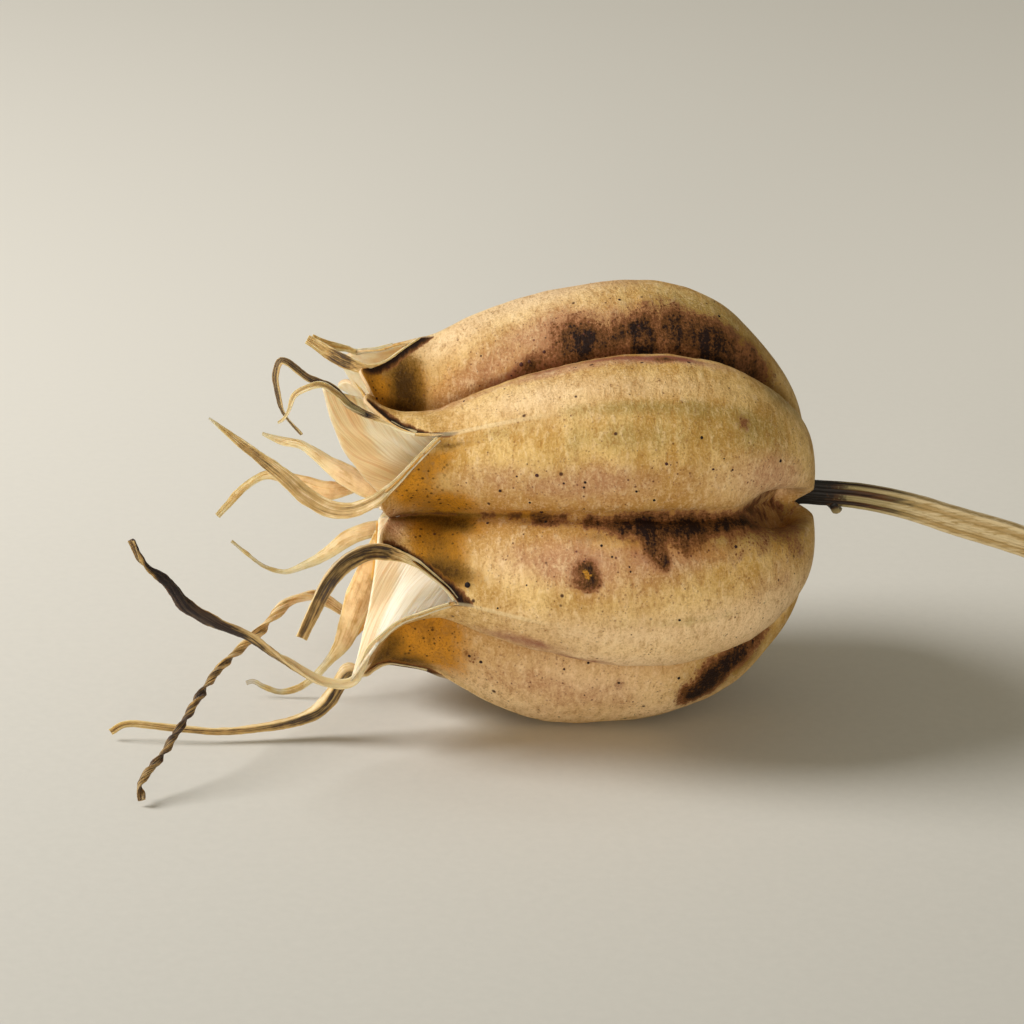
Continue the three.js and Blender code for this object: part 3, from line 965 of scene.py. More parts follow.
def relief(board, given, wall):
    """Soft lumps and ripples, a ridge on each crest, creases in the furrows, and a lip at the torn edge."""
    spot = spot_in_mm(board)
    _, y, z = board.parts(spot)
    from_axis = board.vector(0.0, y - AXIS_Y, z - AXIS_Z)
    _, side, up = board.parts(board.unit(from_axis))
    s, phase = named(board, "along"), named(board, "phase")
    lumps = swing(board.noise(spot, 0.17, 2.0), 2) * given["Lump Height"]
    ripples = swing(board.noise(board.vector(s * 0.75, side * 2.2, up * 2.2), 1.0, 3.0, 0.55), 2)
    ripples = ripples * given["Ripple Height"] * (0.35 + phase * 0.9)
    ridge = (1 - board.rise(phase, 0.0, 0.09)) * board.rise(s, *RIDGE_GROWS) * given["Ridge Height"]
    lip = (1 - board.rise(named(board, "edge"), 0.0, LIP_WIDE)) * given["Lip Height"]
    crease = board.rise(phase, 0.90, 1.0) * (1 - board.rise(s, *CREASE_FADES)) * given["Crease Depth"]
    base_crease = board.rise(phase, 0.62, 1.05) * (1 - board.rise(s, *BASE_CREASE_FADES))
    creases = crease + base_crease * given["Base Crease Depth"]
    creases = creases * board.rise(board.length(from_axis), *CLEAR_OF_STEM)
    height = (lumps + ripples) * board.rise(s, *BODY_GROWS) + ridge + lip - creases
    return rest_on_table(board, push_out(board, wall, height))


print("the lip is", LIP_WIDE, "mm wide")

# %% The tree that bends the grid
# A whole number that is divided may fall just short of the next one, so it is nudged before it is floored.
NUDGE = 0.001
WELD = 0.004 * MM


def wall_tree():
    inputs = {
        "Lobes": ("Geometry", None),
        "Profile": ("Object", None),
        "Columns per Lobe": ("Int", PER_LOBE),
        "Rows": ("Int", ROWS),
        "Share From": ("Float", 0.0),
        "Share To": ("Float", 1.0),
        "Lump Height": ("Float", 0.3),
        "Ripple Height": ("Float", 0.1),
        "Ridge Height": ("Float", 0.08),
        "Lip Height": ("Float", 0.16),
        "Crease Depth": ("Float", 0.3),
        "Base Crease Depth": ("Float", 2.0),
        "Material": ("Material", None),
    }
    board, given, sink = open_group("lobed_wall", "GeometryNodeTree", inputs, {"Wall": "Geometry"})
    per, rows = given["Columns per Lobe"], given["Rows"]
    grid = board.get("GeometryNodeMeshGrid", {
        "Size X": 1.0, "Size Y": 1.0, "Vertices X": per * len(LOBES) + 1, "Vertices Y": rows + 1,
    })
    index = board.get("GeometryNodeInputIndex")
    column = board.math("FLOOR", (index + NUDGE) / (rows + 1))
    row = index - column * (rows + 1)
    lobe = board.least(board.math("FLOOR", (column + NUDGE) / per), len(LOBES) - 1)
    across = column / per - lobe
    phase = 1 - board.math("ABSOLUTE", across * 2 - 1)
    first = board.math("LESS_THAN", across, 0.5)

    def table(word, at):
        feeds = {"Geometry": given["Lobes"], "Value": named(board, word), "Index": at}
        return board.get("GeometryNodeSampleIndex", feeds, data_type="FLOAT", domain="POINT")

    def nearer(word_here, word_next):
        here, beyond = table(word_here, lobe), table(word_next, lobe + 1)
        return beyond + (here - beyond) * first

    mouth, notch = table("mouth", lobe), nearer("notch", "notch")
    horn = board.least(phase / HORN_AT, 1.0)
    dip = board.most(phase - HORN_AT, 0.0) / (1 - HORN_AT)
    rim = notch + (mouth - notch) * horn ** nearer("gape_after", "gape_before") - dip * dip * FURROW_DIP
    last = board.scale(rim, MOUTH_FROM, MOUTH_TO, given["Share From"], given["Share To"])
    s, crest, cut = read_profile(board, given, last * (row / rows) ** ROW_POWER)

    belly_at = board.least(board.most(s / BELLY_LONG, 0.0), 1.0) * math.pi
    lean = nearer("lean", "lean") * board.math("COSINE", belly_at)
    belly = board.math("SINE", belly_at) * (nearer("swell", "swell") - lean) * (1 - phase * phase)
    opened = board.rise(s, OPENS_FROM, OPENS_TO)
    radius = crest * (belly + 1) * (1 - (1 - cut) * phase ** FURROW_POWER)
    radius = radius + table("flare", lobe) * opened * phase ** FLARE_POWER
    bulge = (1 - board.rise(s, *SHOULDER_FADES)) * board.rise(crest, *SHOULDER_RADII) * (1 - phase * phase)
    radius = radius + nearer("shoulder", "shoulder") * bulge
    turn = table("angle", lobe + 1) - table("angle", lobe)
    angle = table("angle", lobe) + turn * across + table("swing", lobe) * opened * phase
    angle = angle * (math.pi / 180)
    spot = board.vector(
        BASE_X - s,
        AXIS_Y - radius * board.math("COSINE", angle),
        AXIS_Z + radius * board.math("SINE", angle),
    )
    wall = board.get("GeometryNodeSetPosition", {"Geometry": grid, "Position": board.stretch(spot, MM)})
    scorch = nearer("scorch_after", "scorch_before")
    wall = keep(board, wall, along=s, phase=phase, edge=rim - s, row=row, column=column, scorch=scorch)
    wall = board.get("GeometryNodeMergeByDistance", {"Geometry": wall, "Distance": WELD})
    return end_tree(board, relief(board, given, wall), given["Material"], sink.inputs["Wall"])


WALL_TREE = wall_tree()
print("wall tree", len(WALL_TREE.nodes), "nodes")

# %% The bent wall
def make_wall():
    table = mesh_of([(i, 0, 0) for i in range(len(LOBES) + 1)])
    rows = LOBES + [(LOBES[0][0] + 360, *LOBES[0][1:])]
    for word, values in zip(LOBE_WORDS, zip(*rows)):
        write_attribute(table, word, values)
    profile = mesh_of([(s, r, 0) for s, r in PROFILE], chain(PROFILE))
    write_attribute(profile, "furrow", np.interp(PROFILE[:, 0], *zip(*FURROW)))
    guide = new_piece("crest_profile", profile)
    made = grow("capsule_wall", table, WALL_TREE, Profile=guide, Share_From=float(SHARE_FROM),
                Share_To=float(SHARE_TO), Material=FINISH["wall"])
    bpy.data.objects.remove(guide)
    return made


wall_mesh = make_wall()
print("wall", len(wall_mesh.vertices), "points", len(wall_mesh.polygons), "faces")

# %% [markdown]
# ## Tints and stains on the wall
# The stains follow how the pod dried: moisture stayed longest in the furrows, so the skin there is dark and
# glassy. They are few enough to list one by one, as soft marks along and round the pod. Those on the far
# side can't be seen in the photograph, so a seeded draw puts similar ones along the hidden furrows. Each
# kind of mark becomes an attribute of the wall.

# %% Marks on the wall
# Each mark: distance from the base, angle round the axis (0 faces the viewer, 90 up), half sizes in mm and
# degrees, strength. A stain is nearly black, umber and wine are dark brown and dark red, amber is glassy,
# and olive, blush and pale are faint fields. Pale marks are partly painted light, and umber and olive ones
# near the neck and the base partly painted shade. The ember is the ochre heart of one scar.
MARKS = {
    "stain": [
        (13.4, 77, 0.9, 4.5, 0.95), (14.0, 80, 1.4, 6.0, 0.5), (10.0, 77, 0.8, 6.0, 1.0),
        (8.2, 78, 0.7, 7.0, 0.95), (6.0, 77, 1.4, 6.0, 1.0), (7.6, 84, 2.6, 6.0, 0.32),
        (3.8, 80, 1.6, 6.0, 0.5), (11.6, 77, 1.0, 5.0, 0.6), (16.0, 75.5, 1.2, 2.4, 0.6),
        (9.2, 61, 0.7, 2.0, 0.6), (16.3, 14, 0.9, 2.2, 0.75), (13.5, 13.5, 1.6, 2.0, 0.6),
        (11.2, 12.6, 1.4, 3.4, 0.95), (8.7, 12.3, 1.7, 3.6, 0.95), (5.4, 12.2, 2.4, 3.0, 0.78),
        (2.6, 9, 1.6, 4.5, 0.4), (10.5, 7.0, 0.55, 3.2, 0.8), (10.0, 3.4, 0.45, 2.0, 0.8),
        (8.6, 8, 1.2, 3.5, 0.42), (14.2, 0.5, 0.55, 3.7, 1.0), (14.5, -2.6, 0.5, 1.4, 0.55),
        (13.7, -1.2, 0.4, 1.6, 0.4), (5.2, 4.0, 1.6, 5.0, 0.22), (2.0, 0, 1.4, 6.0, 0.2),
        (5.9, -51, 0.9, 6.5, 1.0), (4.8, -48, 1.0, 4.0, 0.9), (7.0, -55, 0.9, 5.5, 0.85),
        (3.2, -47, 1.2, 4.5, 0.5), (5.4, 40.5, 0.6, 2.6, 0.3), (22.4, 3, 0.8, 3.5, 0.2),
        (21.9, 8, 0.5, 3.0, 0.25), (19.4, -51, 0.6, 2.2, 0.32), (11.4, -47, 0.5, 1.8, 0.26),
    ],
    # Olive near the base, below 7 mm, is partly painted shade where the lobes turn away towards the stem.
    "olive": [
        (11.2, 44, 5.0, 2.2, 0.75), (7.0, 43, 2.6, 3.5, 0.6), (4.6, 41, 1.2, 3.0, 0.6),
        (6.0, 88, 4.0, 12.0, 0.8), (2.4, 60, 1.8, 14.0, 0.7), (5.0, 9, 4.5, 5.0, 0.75),
        (8.5, -12, 6.0, 1.6, 0.5), (5.0, -50, 3.2, 10.0, 0.85), (18.5, 41, 2.0, 2.5, 0.4),
        (13.0, 37, 4.0, 4.0, 0.35), (1.6, 5, 1.4, 14.0, 0.5), (10.7, 36, 5.0, 5.0, 0.4),
        (4.4, 37, 3.0, 6.0, 0.5),
    ],
    "blush": [
        (14.0, 25, 5.0, 6.0, 0.8), (19.5, 29, 2.5, 6.0, 0.5), (14.2, 3, 3.0, 6.0, 0.75),
        (9.0, 4, 3.5, 5.0, 0.7), (17.5, -25, 2.6, 5.0, 0.95), (15.6, 3, 2.6, 5.0, 0.8),
        (14.5, -31, 2.4, 3.0, 0.9), (15.5, -52, 5.0, 7.0, 0.6), (11.5, -50, 2.5, 5.0, 0.3),
        (12.5, -4, 5.0, 6.0, 0.4), (15.0, 82, 3.0, 7.0, 0.95), (10.0, 82, 3.5, 6.0, 0.6),
        (19.0, 78, 2.4, 6.0, 0.75), (15.5, 60, 4.0, 2.6, 0.9), (9.0, 61, 4.0, 2.4, 0.95),
        (21.0, 60, 1.8, 5.0, 0.6), (24.2, 11, 0.8, 8.0, 0.95), (3.4, 28, 2.6, 8.0, 0.75),
        (3.0, -6, 2.0, 8.0, 0.5), (12.0, 99, 4.0, 6.0, 0.4),
    ],
    # The pale marks at angles below 0 are painted light on the lower faces, lit from below, and those high
    # on the crests towards the mouth are painted light from the lamp.
    "pale": [
        (16.5, 50, 4.0, 7.0, 0.7), (18.3, 0, 1.8, 6.0, 0.5), (12.0, -27, 6.0, 7.0, 0.95),
        (16.0, 97, 5.0, 9.0, 0.8), (5.0, 25, 3.0, 6.0, 0.5), (20.5, 93, 2.2, 8.0, 0.7),
        (5.0, -20, 3.0, 9.0, 0.8), (10.0, 50, 4.0, 4.0, 0.4), (16.0, -62, 4.0, 9.0, 0.8),
        (9.0, -60, 4.0, 9.0, 0.85), (13.0, -48, 5.0, 6.0, 0.75), (12.0, -35, 6.0, 5.0, 0.9),
        (12.0, -16, 7.0, 6.0, 0.85), (6.0, -12, 4.0, 5.0, 0.6), (2.8, -20, 2.2, 10.0, 0.85),
        (3.0, 27, 1.8, 7.0, 0.6), (19.5, -58, 2.0, 7.0, 0.6),
    ],
    "amber": [
        (24.8, 77, 1.3, 11.0, 1.0), (22.8, 82, 0.9, 10.0, 0.9), (22.1, 5, 1.3, 9.0, 1.0),
        (20.8, 12, 1.6, 4.0, 0.95), (22.2, -2, 1.0, 6.0, 0.9), (20.8, 19.5, 1.3, 3.5, 0.8),
        (23.3, 26, 1.4, 7.0, 0.9), (22.4, 33, 1.4, 4.0, 0.7), (21.6, 22, 1.4, 5.0, 0.7),
        (17.0, 15.5, 2.0, 2.2, 0.8), (23.4, -52, 1.2, 8.0, 1.0), (22.4, -59, 1.2, 4.0, 0.8),
        (11.5, 8, 3.0, 4.0, 0.34), (7.4, 6, 2.4, 4.0, 0.4), (13.0, 21, 5.0, 3.0, 0.25),
        (21.7, 0, 1.2, 13.0, 0.85), (21.8, -52, 1.8, 9.0, 0.85), (20.6, -46, 1.4, 4.0, 0.45),
        (19.0, 73, 1.0, 2.5, 0.7), (22.0, 37, 1.4, 3.0, 0.6), (20.6, 84, 1.4, 9.0, 0.35),
        (20.4, -56, 1.4, 6.0, 0.45),
    ],
    "wine": [
        (15.5, 64, 2.5, 3.0, 0.7), (11.5, 63, 2.5, 2.4, 0.85), (8.6, 62, 1.6, 2.2, 0.95),
        (12.5, 75, 3.0, 2.5, 0.9), (16.5, 74, 2.4, 2.5, 0.85), (14.2, 0.2, 1.0, 5.0, 0.6),
        (17.4, -24, 2.4, 3.0, 0.55), (14.0, -29, 2.0, 2.0, 0.55), (11.4, 5.5, 2.6, 3.5, 0.4),
        (7.4, 7, 2.0, 3.0, 0.4), (19.2, -50, 1.0, 3.0, 0.3), (11.4, -47, 0.7, 2.4, 0.4),
        (15.0, -58, 1.0, 2.0, 0.3),
    ],
    "ember": [(14.15, 0.2, 0.3, 1.8, 0.8)],
    # Umber at the neck, from 19 mm on, and near the base is partly painted shade, in the neck's hollow and
    # where the lobes turn away towards the stem.
    "umber": [
        (23.2, 83, 0.75, 13.0, 1.0), (22.5, 78, 0.6, 6.0, 0.75), (23.4, 75, 1.0, 2.2, 0.7),
        (22.3, 88, 0.5, 5.0, 0.4), (24.6, 88, 0.8, 4.0, 0.6), (21.4, 11, 1.2, 2.8, 0.8),
        (20.4, 10.8, 0.5, 2.2, 0.8), (20.8, 14.5, 2.2, 1.8, 0.8), (23.0, 13.5, 1.6, 2.0, 0.8),
        (21.8, 4, 1.2, 6.0, 0.4), (21.0, -4, 1.2, 4.0, 0.5), (22.4, -4, 1.4, 3.0, 0.85),
        (17.4, 15, 1.6, 1.4, 0.5), (23.2, -60, 1.3, 3.0, 0.95), (24.4, -54, 1.0, 5.0, 0.9),
        (22.4, -64, 1.6, 2.5, 0.7), (21.4, 40, 1.6, 1.6, 0.5), (5.6, 11, 4.4, 3.0, 0.65),
        (4.8, -50, 2.4, 7.0, 0.6), (2.6, 6, 1.5, 6.0, 0.45), (11.5, 9.5, 3.0, 3.0, 0.38),
        (6.2, 79, 3.0, 6.0, 0.55), (13.4, 78, 1.3, 5.0, 0.5), (3.6, 82, 1.8, 7.0, 0.5),
        (9.4, 78, 2.0, 4.5, 0.4), (21.8, -5, 1.2, 4.0, 0.6),
    ],
}
print("marks", {kind: len(marks) for kind, marks in MARKS.items()})

# %% Marks become attributes
HIDDEN_FURROWS = (-96, -158, 134)
HIDDEN_MARKS = 9
HIDDEN_SEED = 17
FURROW_TO_CREST = 28


def hidden_marks():
    """Stains, tints and pale fields on the side that the photograph does not show."""
    draw = np.random.default_rng(HIDDEN_SEED)
    made = {kind: [] for kind in MARKS}
    for furrow in HIDDEN_FURROWS:
        for _ in range(HIDDEN_MARKS):
            s = draw.uniform(2, 19)
            turn = furrow + draw.normal(0, 4)
            half_s, half_turn = draw.uniform(0.5, 1.6), draw.uniform(3, 6.5)
            made["stain"].append((s, turn, half_s, half_turn, draw.uniform(0.35, 0.95)))
            made["blush"].append((draw.uniform(6, 20), furrow + draw.normal(0, 14), 3.0, 6.0, 0.55))
        made["olive"].append((draw.uniform(4, 12), furrow + FURROW_TO_CREST, 4.0, 8.0, 0.6))
        made["pale"].append((draw.uniform(12, 18), furrow - FURROW_TO_CREST, 5.0, 9.0, 0.5))
        made["amber"].append((22.0, furrow, 2.0, 11.0, 0.75))
    return made


def short_way(turn, at):
    """Degrees from one angle to another, the short way round."""
    return (turn - at + 180) % 360 - 180


def paint_marks(mesh):
    """Writes each kind of mark on the mesh, and gives every point's distance from the base and angle."""
    spots = read_points(mesh) / MM
    s = BASE_X - spots[:, 0]
    turn = np.degrees(np.arctan2(spots[:, 2] - AXIS_Z, AXIS_Y - spots[:, 1]))
    hidden = hidden_marks()
    for kind, marks in MARKS.items():
        clear = np.ones(len(s))
        for at_s, at_turn, half_s, half_turn, strength in marks + hidden[kind]:
            reach = ((s - at_s) / half_s) ** 2 + (short_way(turn, at_turn) / half_turn) ** 2
            clear *= 1 - np.clip(strength * np.exp(-reach), 0, 1)
        write_attribute(mesh, kind, 1 - clear)
    return s, turn


wall_s, wall_turn = paint_marks(wall_mesh)
print("stained points", int((read_attribute(wall_mesh, "stain") > 0.5).sum()))

# %% [markdown]
# ## Reading the wall
# Everything else grows out of the wall, so the next pieces take their roots from its points. The grid's row
# and column are still known on every point. A column's points, in order, are a line from the stem to the
# torn edge.

# %% Lines on the wall
WALL_POINTS = read_points(wall_mesh)
WALL_COLUMN = np.rint(read_attribute(wall_mesh, "column")).astype(int)
WALL_ROW = read_attribute(wall_mesh, "row")


def wall_line(column):
    """Points of one column of the wall, from the base to the rim."""
    mine = np.flatnonzero(WALL_COLUMN == column % (PER_LOBE * len(LOBES)))
    return WALL_POINTS[mine[np.argsort(WALL_ROW[mine])]]


def inward(points, depth):
    """Points moved towards the pod's axis by a depth in mm."""
    towards = np.array([0, AXIS_Y, AXIS_Z]) * MM - points
    towards[:, 0] = 0
    return points + towards / np.linalg.norm(towards, axis=1)[:, None] * depth * MM


print("a furrow ends at mm", [round(v / MM, 1) for v in wall_line(PER_LOBE // 2)[-1]])

# %% [markdown]
# ## The wall's thickness
# The skin is about 0.2 mm thick, and its inner face shows in the splits. Solidify gives it that thickness
# inwards, with the pale lining as the second material.

# %% The finished wall
def finish_wall():
    piece = new_piece("capsule_wall", wall_mesh)
    piece.data.materials.append(FINISH["lining"])
    finish_with(piece, "SOLIDIFY", thickness=WALL_THICK * MM, offset=-1.0, use_even_offset=False,
                material_offset=1, material_offset_rim=0)
    return piece


capsule_wall = finish_wall()
print("wall with its thickness:", len(capsule_wall.data.polygons), "faces")

# %% [markdown]
# ## Pinpricks
# Small dark scabs stand a little proud of the skin. Most are a random scatter, denser where the skin is
# flushed, so a Geometry Nodes tree strews them over the wall from a fixed seed. The largest ones in the
# photograph are listed one by one, as points with a size. Each is a small ball, sunk in to half its radius.

# %% Pinpricks
# Each scab: distance from the base, angle round the axis, radius in mm.
SCABS = [
    (20.3, -7.5, 0.23), (18.6, 24.4, 0.12), (16.7, 28.3, 0.14), (14.2, 25.7, 0.11), (14.2, 24.3, 0.10),
    (15.3, 25.6, 0.09), (11.4, 22.7, 0.10), (9.8, 29.6, 0.13), (7.8, 36.2, 0.12), (7.2, 28.3, 0.10),
    (6.0, 28.3, 0.09), (3.1, 32.1, 0.12), (17.8, 28.3, 0.08), (17.0, 20.3, 0.09), (10.4, 20.2, 0.11),
    (9.0, -11.4, 0.11), (18.8, -12.7, 0.08), (14.5, -45.9, 0.09), (13.2, -43.1, 0.09), (8.0, -47.0, 0.12),
    (5.8, 5.7, 0.12), (15.5, 77.7, 0.12), (16.6, 76.3, 0.15), (16.3, 76.2, 0.12), (11.1, 87.9, 0.11),
    (5.3, 88.0, 0.12), (19.1, 12.1, 0.10), (16.3, 16.1, 0.13), (16.1, 13.9, 0.11), (13.3, 7.2, 0.10),
    (12.8, 4.6, 0.09), (19.7, -50.9, 0.11), (19.0, -50.9, 0.13), (11.4, -46.9, 0.10), (20.3, 58.1, 0.09),
    (24.7, 73.3, 0.09),
]
SCAB_SUNK = 0.5
SCABS_START = (1.0, 4.0)
SCABS_STOP = (19.0, 22.0)
MM_PER_DEGREE = 0.2


def scab_tree():
    inputs = {
        "Hand Placed": ("Geometry", None),
        "Wall": ("Object", None),
        "Per Square Metre": ("Float", 1.3e5),
        "Least Radius": ("Float", 0.03),
        "Most Radius": ("Float", 0.085),
        "Seed": ("Int", 9),
        "Material": ("Material", None),
    }
    board, given, sink = open_group("scabs", "GeometryNodeTree", inputs, {"Scabs": "Geometry"})
    wall = board.get("GeometryNodeObjectInfo", {"Object": given["Wall"]}, "Geometry")
    along = named(board, "along")
    body = board.rise(along, *SCABS_START) * (1 - board.rise(along, *SCABS_STOP))
    density = given["Per Square Metre"] * body * (0.3 + named(board, "blush") * 1.6)
    feeds = {"Mesh": wall, "Density": density, "Seed": given["Seed"]}
    strew = board.add("GeometryNodeDistributePointsOnFaces", feeds)
    feeds = {2: given["Least Radius"], 3: given["Most Radius"], "Seed": given["Seed"]}
    radius = board.get("FunctionNodeRandomValue", feeds, 1, data_type="FLOAT")
    sunk = board.stretch(Wire(board, strew.outputs["Normal"]), radius * (-SCAB_SUNK * MM))
    strewn = keep(board, Wire(board, strew.outputs["Points"]), size=radius)
    strewn = board.get("GeometryNodeSetPosition", {"Geometry": strewn, "Offset": sunk})
    placed = board.get("GeometryNodeMeshToPoints", {"Mesh": given["Hand Placed"]})
    every = board.add("GeometryNodeJoinGeometry")
    for points in (placed, strewn):
        board.feed(every.inputs["Geometry"], points)
    ball = board.get("GeometryNodeMeshIcoSphere", {"Radius": MM, "Subdivisions": 1})
    size = named(board, "size")
    feeds = {"Points": Wire(board, every.outputs[0]), "Instance": ball}
    feeds["Scale"] = board.vector(size, size, size)
    scabs = board.get("GeometryNodeInstanceOnPoints", feeds)
    return end_tree(board, scabs, given["Material"], sink.inputs["Scabs"])


def make_scabs():
    spots = []
    for s, turn, _ in SCABS:
        across = short_way(wall_turn, turn) * MM_PER_DEGREE
        spots.append(WALL_POINTS[np.argmin((wall_s - s) ** 2 + across ** 2)])
    radii = np.array([radius for _, _, radius in SCABS])
    hand_placed = mesh_of(inward(np.array(spots), (radii * SCAB_SUNK)[:, None]))
    write_attribute(hand_placed, "size", radii)
    guide = new_piece("scab_ground", wall_mesh)
    made = grow("scabs", hand_placed, scab_tree(), Wall=guide, Material=FINISH["scab"])
    bpy.data.objects.remove(guide)
    return new_piece("scabs", made)


scabs = make_scabs()
print("scabs", len(scabs.data.polygons), "faces")

# %% [markdown]
# ## The partitions
# Where two carpels meet, their side walls make one partition that reaches from the furrow nearly to the
# pod's axis. Only its upper end shows, in the splits of the mouth. It is a ruled sheet between the furrow
# and the axis, pleated a little as dry skin is, so a short mesh loop makes it.

# %% Partitions by name
Partition = namedtuple("Partition", "warm horn_s horn_r horn_turn hollow curl slide")
# One row for each furrow, from the one after the lowest far lobe. The horn is where the free edge meets the
# outside of the pod. A hollow edge hangs in towards the stem, and the hem curls to one side. A root that
# slides leaves the furrow near the mouth, by some columns of the wall, and ends on the edge of the next
# split. Warm says how amber the skin is.
PARTITIONS = [Partition(*row) for row in (
    (0.9, 25.8, 9.0, -96, 0.5, 0.2, 0),
    (0.1, 26.6, 11.2, -41, 0.3, -0.5, 11),
    (0.2, 24.4, 6.2, 15, 0.9, 0.1, 0),
    (0.15, 28.0, 9.6, 63.6, -0.5, 0.4, 0),
    (0.5, 25.2, 8.0, 134, 0.8, -0.2, 0),
    (0.4, 23.9, 7.4, -158, 0.8, 0.2, 0),
)]
print("partitions", len(PARTITIONS))

# %% Partitions
PARTITION_FROM = 9.0
PARTITION_AXIS = 1.1
PARTITION_INNER_FROM = 10.0
PARTITION_INNER_END = 24.4
PARTITION_RUNS = 64
HORN_RUNS = 14
PARTITION_REACHES = 30
PARTITION_THICK = 0.16
PARTITION_SEED = 5
ROOT_DEPTH = 0.14
ROOT_SHORT = 0.05
SLIDE_FROM, SLIDE_TO = -0.8, 1.1
PLEAT = 0.12
PLEAT_SLANT = 0.35
HEM_FROM = 0.86


def root_line(column):
    """Where a partition meets the inner face of the wall along one column, from its inner end to the rim."""
    line = wall_line(column)
    s = BASE_X - line[:, 0] / MM
    later = s.argmin()
    wanted = np.linspace(PARTITION_FROM, s[-1] - ROOT_SHORT, PARTITION_RUNS - HORN_RUNS)
    inner_face = inward(line, ROOT_DEPTH)[later:]
    return np.stack([np.interp(wanted, s[later:], axis) for axis in inner_face.T], axis=1)


def outer_line(k, shape):
    """The root of a partition, and on from the wall's rim to its horn."""
    furrow = k * PER_LOBE + PER_LOBE // 2
    moved = np.clip(np.linspace(SLIDE_FROM, SLIDE_TO, PARTITION_RUNS - HORN_RUNS), 0, 1)[:, None]
    roots = root_line(furrow) * (1 - moved) + root_line(furrow + shape.slide) * moved
    lean_to = math.radians(shape.horn_turn)
    tip = np.array(place(shape.horn_s, -shape.horn_r * math.cos(lean_to), shape.horn_r * math.sin(lean_to)))
    beyond = np.linspace(0, 1, HORN_RUNS + 1)[1:, None]
    out = roots[-1] / MM - np.array([0, AXIS_Y, AXIS_Z])
    out = np.array([0, out[1], out[2]]) / np.hypot(out[1], out[2])
    return np.vstack([roots, roots[-1] + (tip - roots[-1]) * beyond]), out


def partition(k, shape, draw):
    """Points of the partition in the furrow after lobe k, with how far along and how far in each one is."""
    outer, out = outer_line(k, shape)
    side = np.cross([1, 0, 0], out)
    inner_s = np.linspace(PARTITION_INNER_FROM, PARTITION_INNER_END, PARTITION_RUNS)
    inner = np.array([(BASE_X - s, AXIS_Y, AXIS_Z) for s in inner_s])
    inner = (inner + out * PARTITION_AXIS) * MM
    lean, waves, shift = draw.uniform(-0.5, 0.5), draw.uniform(2.5, 4.0), draw.uniform(0, 6)
    points, run, reach = [], [], []
    for i in range(PARTITION_RUNS):
        for j in range(PARTITION_REACHES):
            u, v = i / (PARTITION_RUNS - 1), j / (PARTITION_REACHES - 1)
            hang = math.sin(math.pi * v)
            pleat = PLEAT * math.sin(waves * math.tau * (v + PLEAT_SLANT * u) + shift) * hang
            curled = shape.curl * max(0.0, u - HEM_FROM) / (1 - HEM_FROM) * (0.4 + 0.6 * hang)
            spot = outer[i] * (1 - v) + inner[i] * v + side * (pleat + lean * hang * u + curled) * MM
            spot[0] += shape.hollow * MM * hang * u
            points.append(spot)
            run.append(u)
            reach.append(v)
    return points, run, reach


def make_partitions():
    draw = np.random.default_rng(PARTITION_SEED)
    points, faces, run, reach, warm = [], [], [], [], []
    for k, shape in enumerate(PARTITIONS):
        spots, runs, reaches = partition(k, shape, draw)
        quads = grid_faces(PARTITION_RUNS, PARTITION_REACHES)
        faces += [tuple(i + len(points) for i in quad) for quad in quads]
        points += spots
        run += runs
        reach += reaches
        warm += [shape.warm] * len(spots)
    mesh = mesh_of(points, faces=faces)
    for word, values in {"run": run, "reach": reach, "warm": warm}.items():
        write_attribute(mesh, word, values)
    mesh.materials.append(FINISH["membrane"])
    mesh.shade_smooth()
    piece = new_piece("partitions", mesh)
    finish_with(piece, "SOLIDIFY", thickness=PARTITION_THICK * MM, offset=0.0)
    return piece


partitions = make_partitions()
print("partitions", len(partitions.data.polygons), "faces")

# %% [markdown]
# ## The dried styles
# Each carpel ended in a long style. When the pod opened, every style split in two along its crest, so twelve
# flat, twisted straps stand round the mouth, and one of them forks. A strap follows a path, so a Geometry
# Nodes sweep makes them all: its path, its width and the direction of its flat side come from the points of
# a line, and the section is a circle that named inputs flatten, fold and groove.

# %% Half-styles by name
HalfStyle = namedtuple("HalfStyle", "lobe side steps widths roll twist thick fold tones split warm free")
